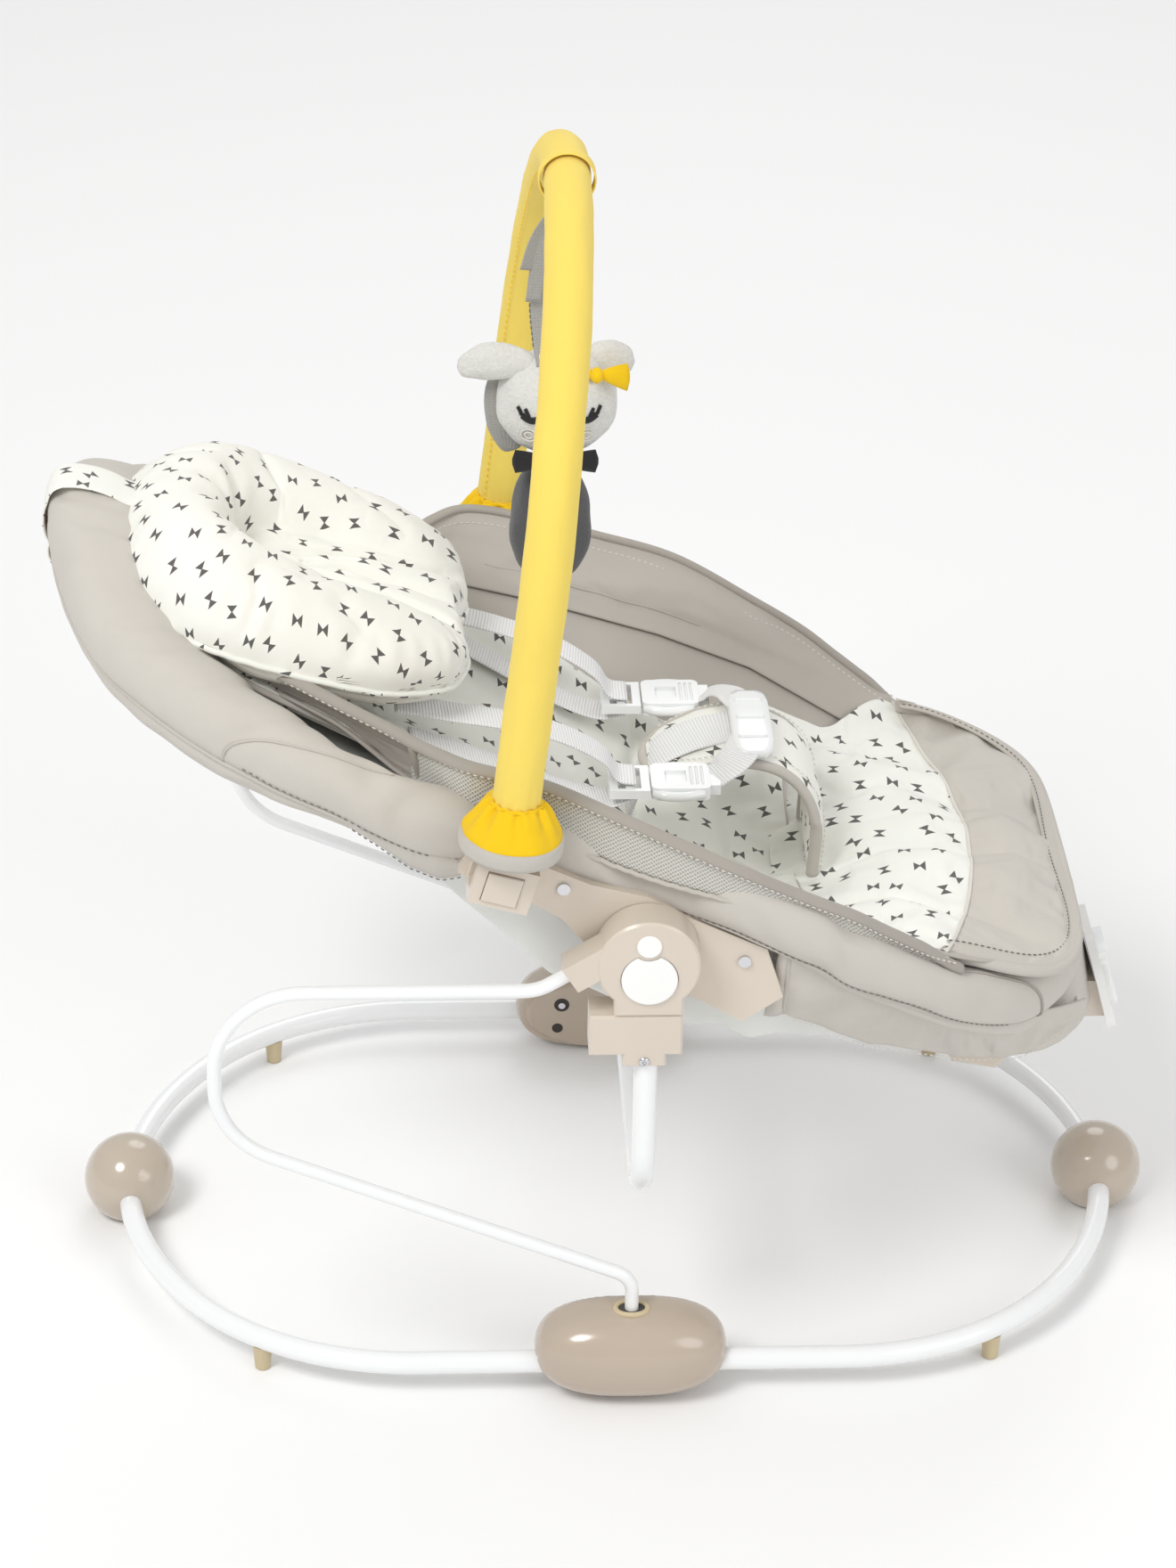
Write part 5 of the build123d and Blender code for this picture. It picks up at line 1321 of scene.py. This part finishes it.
ellipsoid("toy_head_plush", (TX, 0, 612), (37.5, 25, 38), PLUSH_W, bumpy=0.05, shape=head_shape, slot="toy_white", replaces=("toy_head",), padded=0.9)
def face_y(x, z):
    k = max(0.0, 1 - ((x - TX) / 37.5) ** 2 - ((z - 611) / 37.0) ** 2)
    return -25.0 * math.sqrt(k) - 0.3
for s, tag in ((-1, "a"), (1, "b")):
    ex, ez = TX + 1 + s * 17, 611.0
    lid = [(ex - 6 + 12 * t_, ez - 2.8 * math.sin(math.pi * t_)) for t_ in np.linspace(0, 1, 16)]
    tube("toy_eye_%s" % tag, np.array([(x_, face_y(x_, z_) - 0.4, z_) for x_, z_ in lid]), 2.3, BLACK, seg=8, up=(0, -1, 0), body="toy", slot="toy_felt")
    for q_ in (0, 1):
        x0_, z0_ = ex - s * (2 + 4.5 * q_) * -1, ez - 0.5 + 0.6 * q_
        lash = [(x0_ + s * 2.2 * t_, z0_ + 6.0 * t_ - 1.0 * t_ * t_) for t_ in np.linspace(0, 1, 8)]
        tube("toy_lash_%s%d" % (tag, q_), np.array([(x_, face_y(x_, z_) - 0.4, z_) for x_, z_ in lash]), 1.25, BLACK, seg=6, up=(0, -1, 0), body="toy", slot="toy_felt")
    for q_, rr in ((0, 4.6), (1, 2.4)):
        cx_, cz_ = TX + s * 18, 597.0
        ring_ = [(cx_ + rr * math.cos(a_), cz_ + rr * math.sin(a_)) for a_ in np.linspace(0.4, 5.6, 30)]
        tube("toy_cheek_%s%d" % (tag, q_), np.array([(x_, face_y(x_, z_) - 0.3, z_) for x_, z_ in ring_]), 0.55, THREAD, seg=6, up=(0, -1, 0), body="toy", slot="toy_white")
    def ear_shape(q):
        return arr(q[0], q[1], q[2] * (1 - 0.25 * q[0] * -s) + 0.25 * (q[0] ** 2) * -1.0)
    if s < 0:
        ellipsoid("toy_ear_a", (TX - 35, -4, 640), (27, 7.5, 12), PLUSH_W, bumpy=0.08, nu=36, nv=24, seed=3.0, shape=ear_shape, slot="toy_white", replaces=("toy_ears",), padded=0.8)
        ellipsoid("toy_ear_back", (TX - 29, 7, 606), (16, 5.5, 33), TOYRIB, bumpy=0.05, nu=36, nv=24, seed=5.0, slot="toy_grey", padded=0.6)
    else:
        ellipsoid("toy_ear_b", (TX + 30, 6, 638), (19, 7.0, 11), PLUSH_W, bumpy=0.08, nu=36, nv=24, seed=7.0, shape=ear_shape, slot="toy_white", padded=0.8)
ellipsoid("toy_body_plush", (-50, 0, 531), (25, 19, 44), FELT, bumpy=0.05, slot="toy_felt", replaces=("toy_body",), padded=0.7,
          shape=lambda q: arr(q[0] * (1 + 0.28 * max(0, -q[2])), q[1] * (1 + 0.2 * max(0, -q[2])), q[2]))
for s in (-1, 1):
    P = np.zeros((14, 16, 3))
    for i in range(14):
        t = i / 13
        w = 1.6 + 9.5 * t ** 0.8 * (1 - 0.3 * t)
        for j in range(16):
            a = 2 * math.pi * j / 16
            P[i, j] = (TX - 1 + s * (2 + 25 * t), -17 + 3.4 * math.sin(a) * (0.5 + 0.5 * t) * (1 - 0.8 * (t > 0.95)), 577.5 + w * math.cos(a) * (1 - 0.75 * (t > 0.97)))
    grid("toy_bow_%s" % ("a" if s < 0 else "b"), P, BLACK, cv=True, flip=(s < 0), body="toy", slot="toy_felt")
ellipsoid("toy_bow_knot", (TX - 1, -18, 577.5), (4.2, 4.2, 5.2), BLACK, nu=20, nv=14, slot="toy_felt")
for s in (-1, 1):
    P = np.zeros((14, 16, 3))
    for i in range(14):
        t = i / 13
        w = 1.4 + 10.5 * t ** 0.8 * (1 - 0.2 * t)
        for j in range(16):
            a = 2 * math.pi * j / 16
            P[i, j] = (TX + 24 + s * (1.5 + 19 * t), -18 + 3.6 * math.sin(a) * (0.5 + 0.5 * t) * (1 - 0.8 * (t > 0.95)), 637 + w * math.cos(a) * (1 - 0.75 * (t > 0.97)) - s * 2 * t)
    grid("toy_top_bow_%s" % ("a" if s < 0 else "b"), P, YELLOW_D, cv=True, flip=(s < 0), body="toy", slot="yellow_fabric")
ellipsoid("toy_top_bow_knot", (TX + 24, -19, 637), (4.2, 4.6, 5.2), YELLOW_D, nu=20, nv=14, slot="yellow_fabric")
topp = BP + LEAN * 364
ringp = np.array([topp + 17.2 * (math.cos(a) * arr(1, 0, 0) + math.sin(a) * arr(0, 0, 1)) for a in np.linspace(-math.pi / 2, 1.5 * math.pi, 60)])
ribbon("toy_strap_loop", ringp, 10.4, 1.2, YELLOW, unit(ringp - topp), body="toy", slot="yellow_fabric", replaces=("toy_strap",), sheet=("hung", ["toy_bar_sleeve_cover"]))
hang = catmull([(topp[0] - 2, 4, topp[2] - 17.9), (topp[0] - 8, 5, 722), (TX - 12, 4, 684), (TX - 10, -2, 650), (TX - 8, -12, 640)], 40)
ribbon("toy_strap_drop", hang, 10.6, 1.8, TOYRIB, arr(0.25, -1, 0), body="toy", slot="toy_grey", sheet=("hung", ["toy_strap_loop"]))
stitches("toy_strap_stitch", hang[2:-4] + arr(-5.2, -1.6, 0), arr(0.25, -1, 0), THREAD_D, pitch=3.6, body="toy", slot="toy_grey")
for k, (dx, l, m) in enumerate(((-11, 62, TOYRIB), (-5, 50, TOYRIB), (2, 66, TOYRIB), (7, 44, YELLOW_D), (-15, 40, TOYRIB))):
    rb = catmull([(topp[0] - 4, 6 + dx * 0.3, topp[2] - 18.1), (topp[0] - 9 + dx * 0.6, 5 + dx * 0.4, topp[2] - 19 - l * 0.5), (topp[0] - 8 + 1.1 * dx, 4 + dx * 0.5, topp[2] - 19 - l)], 20)
    ribbon("toy_ribbon_%d" % k, rb, 10.2, 0.9, m, arr(0.3 + 0.1 * k, -1, 0.0), body="toy", slot="toy_grey", sheet=("hung", ["toy_strap_loop"]))

def capsule_skin(name, sgn, reps):
    NU_, NV_ = 96, 56
    Pq = np.zeros((NV_, NU_, 3))
    for j in range(NV_):
        b_ = -math.pi / 2 + math.pi * j / (NV_ - 1)
        for i in range(NU_):
            a_ = 2 * math.pi * i / NU_
            cb, sb = math.copysign(abs(math.cos(b_)) ** 0.80, math.cos(b_)), math.copysign(abs(math.sin(b_)) ** 0.86, math.sin(b_))
            ca, sa = math.copysign(abs(math.cos(a_)) ** 0.72, math.cos(a_)), math.copysign(abs(math.sin(a_)) ** 0.80, math.sin(a_))
            x_ = 62.5 * cb * ca
            y_ = 32.2 * cb * sa
            z_ = 31 + (31.5 if sb > 0 else 30.4) * sb
            y_ = -205.0 + (y_ if y_ < 0 else min(y_, 14.2))
            Pq[j, i] = (x_, sgn * -y_ if sgn > 0 else y_, z_)
    return grid(name, Pq, BEIGE_C, cv=True, flip=(sgn > 0), body="base", slot="beige_plastic", replaces=reps)
for s, tag in ((-1, "left"), (1, "right")):
    capsule_skin("%s_capsule_skin" % tag, s, ("%s_capsule_shell" % tag,))
    aa_ = np.linspace(0, 2 * math.pi, 40, endpoint=False)
    gr = np.array([(10.4 * math.cos(q), s * 207 + 7.6 * math.sin(q), 62.3 - 0.004 * (10.4 * math.cos(q)) ** 2) for q in aa_])
    tube("%s_leg_grommet" % tag, gr, 2.0, RUBBER, closed=True, seg=10, body="base", slot="beige_rubber")
    # flat dark disc inside the grommet: painted shade of the leg opening
    hole = np.array([(8.8 * math.cos(q), s * 207 + 6.0 * math.sin(q), 62.9) for q in aa_])
    disc = np.stack([hole, hole * arr(0.02, 0, 1) + arr(0, s * 207, 0)], 0)
    grid("%s_leg_slot_painted_shade" % tag, disc, PAINTED_SHADE_GAP, cv=True, flip=(s < 0), body="base", slot="beige_rubber")

# screws under the hub tabs, and shallow pilot holes in the capsule covers whose darkness is painted shade standing for
# deep holes
def disc_screw(name, c, axis, r, mat, body, slot):
    axis = unit(np.asarray(axis, float)[None])[0]
    a_ = unit(np.cross(axis, arr(0.3, 0.5, 0.8))[None])[0]
    b_ = np.cross(axis, a_)
    prof_ = [(0.02, 0.55), (0.22, 0.5), (0.26, 0.15), (0.34, 0.15), (0.4, 0.52), (0.75, 0.42), (0.97, 0.15), (1.0, -0.35)]
    P_ = np.array([[arr(*c) + r * (q * (math.cos(t_) * a_ + math.sin(t_) * b_)) + axis * (h_ * r * 0.8) for t_ in np.linspace(0, 2 * math.pi, 28, endpoint=False)] for q, h_ in prof_])
    return grid(name, P_, mat, cv=True, flip=False, body=body, slot=slot)
for s, tag in ((-1, "left"), (1, "right")):
    disc_screw("%s_tab_screw" % tag, (3.5, s * 217.2, 260), (0, s, -0.15), 3.6, CHROME, "spring_frame", "screw_steel")
    for k_, (hx, hz, ro, ri) in enumerate(((-30, 40, 5.6, 2.4), (30, 40, 5.6, 2.4), (-33, 20, 4.0, 0.1), (33, 20, 4.0, 0.1))):
        well = np.array([[(hx + r_ * math.cos(t_), s * (188.0 - y_), hz + r_ * math.sin(t_)) for t_ in np.linspace(0, 2 * math.pi, 32, endpoint=False)]
                         for r_, y_ in ((ro, -0.1), (ro * 0.97, 0.35), (ro * 0.9, 0.5), (ri + (ro - ri) * 0.45, 0.42), (ri, 0.4))])
        grid("%s_capsule_well_%d" % (tag, k_), well, PAINTED_SHADE_PIT, cv=True, flip=(s < 0), body="base", slot="beige_rubber")

# ---------------------------------------------------------------- finishing: each piece rides its body, the CAD parts it replaces are hidden
done = set()
for ob, body, slot, reps, padded in PIECES:
    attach(ob, body)
    if reps:
        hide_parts(*reps)
    if padded is not None:
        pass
    elif ob.name in SHEETS:
        fw, fl, ar, held, on = SHEETS[ob.name]

# ================================================================ floor, light, camera
bpy.ops.mesh.primitive_plane_add(size=40, location=(0, 0, -0.0005))
floor = bpy.context.object
floor.name = "studio_floor"
FM = Mat("studio_floor")
FM.set(Base_Color=(0.90, 0.90, 0.90, 1), Roughness=0.9, Specular_IOR_Level=0.1)
floor.data.materials.append(FM.m)

scene.view_settings.view_transform = "Standard"
world = bpy.data.worlds.new("studio")
scene.world = world
world.use_nodes = True
bg = world.node_tree.nodes["Background"]
bg.inputs["Color"].default_value = (1.0, 1.0, 1.0, 1)
bg.inputs["Strength"].default_value = 0.64

def area(name, loc, target, size, power, color=(1, 1, 1)):
    d = bpy.data.lights.new(name, "AREA")
    d.shape = "DISK"
    d.size = size
    d.energy = power
    d.color = color
    o = bpy.data.objects.new(name, d)
    scene.collection.objects.link(o)
    o.location = loc
    o.rotation_euler = (Vector(target) - Vector(loc)).to_track_quat("-Z", "Y").to_euler()
    return o

area("key", (-1.9, -2.0, 3.6), (0, 0, 0.3), 1.6, 84, (1.0, 0.995, 0.985))
area("fill", (2.4, -2.4, 2.0), (0, 0, 0.25), 2.2, 28)
area("back", (0.5, 2.6, 3.0), (0, 0, 0.4), 2.0, 22)

az, el, roll = math.radians(2.95), math.radians(30.0), math.radians(0.97)
D = 2808.4
d = arr(math.sin(az) * math.cos(el), math.cos(az) * math.cos(el), -math.sin(el))
r = arr(math.cos(az), -math.sin(az), 0)
u = np.cross(r, d)
r2 = r * math.cos(roll) + u * math.sin(roll)
u2 = -r * math.sin(roll) + u * math.cos(roll)
pos = arr(-23.28, 0, 334.58) - d * D
cam = bpy.data.cameras.new("camera")
cam.lens = 4800 / 1760 * 36
cam.sensor_width = 36
cam.sensor_fit = "AUTO"
cam.clip_end = 100
co = bpy.data.objects.new("camera", cam)
scene.collection.objects.link(co)
M4 = Matrix(((r2[0], u2[0], -d[0], pos[0] * MM), (r2[1], u2[1], -d[1], pos[1] * MM), (r2[2], u2[2], -d[2], pos[2] * MM), (0, 0, 0, 1)))
co.matrix_world = M4
scene.camera = co
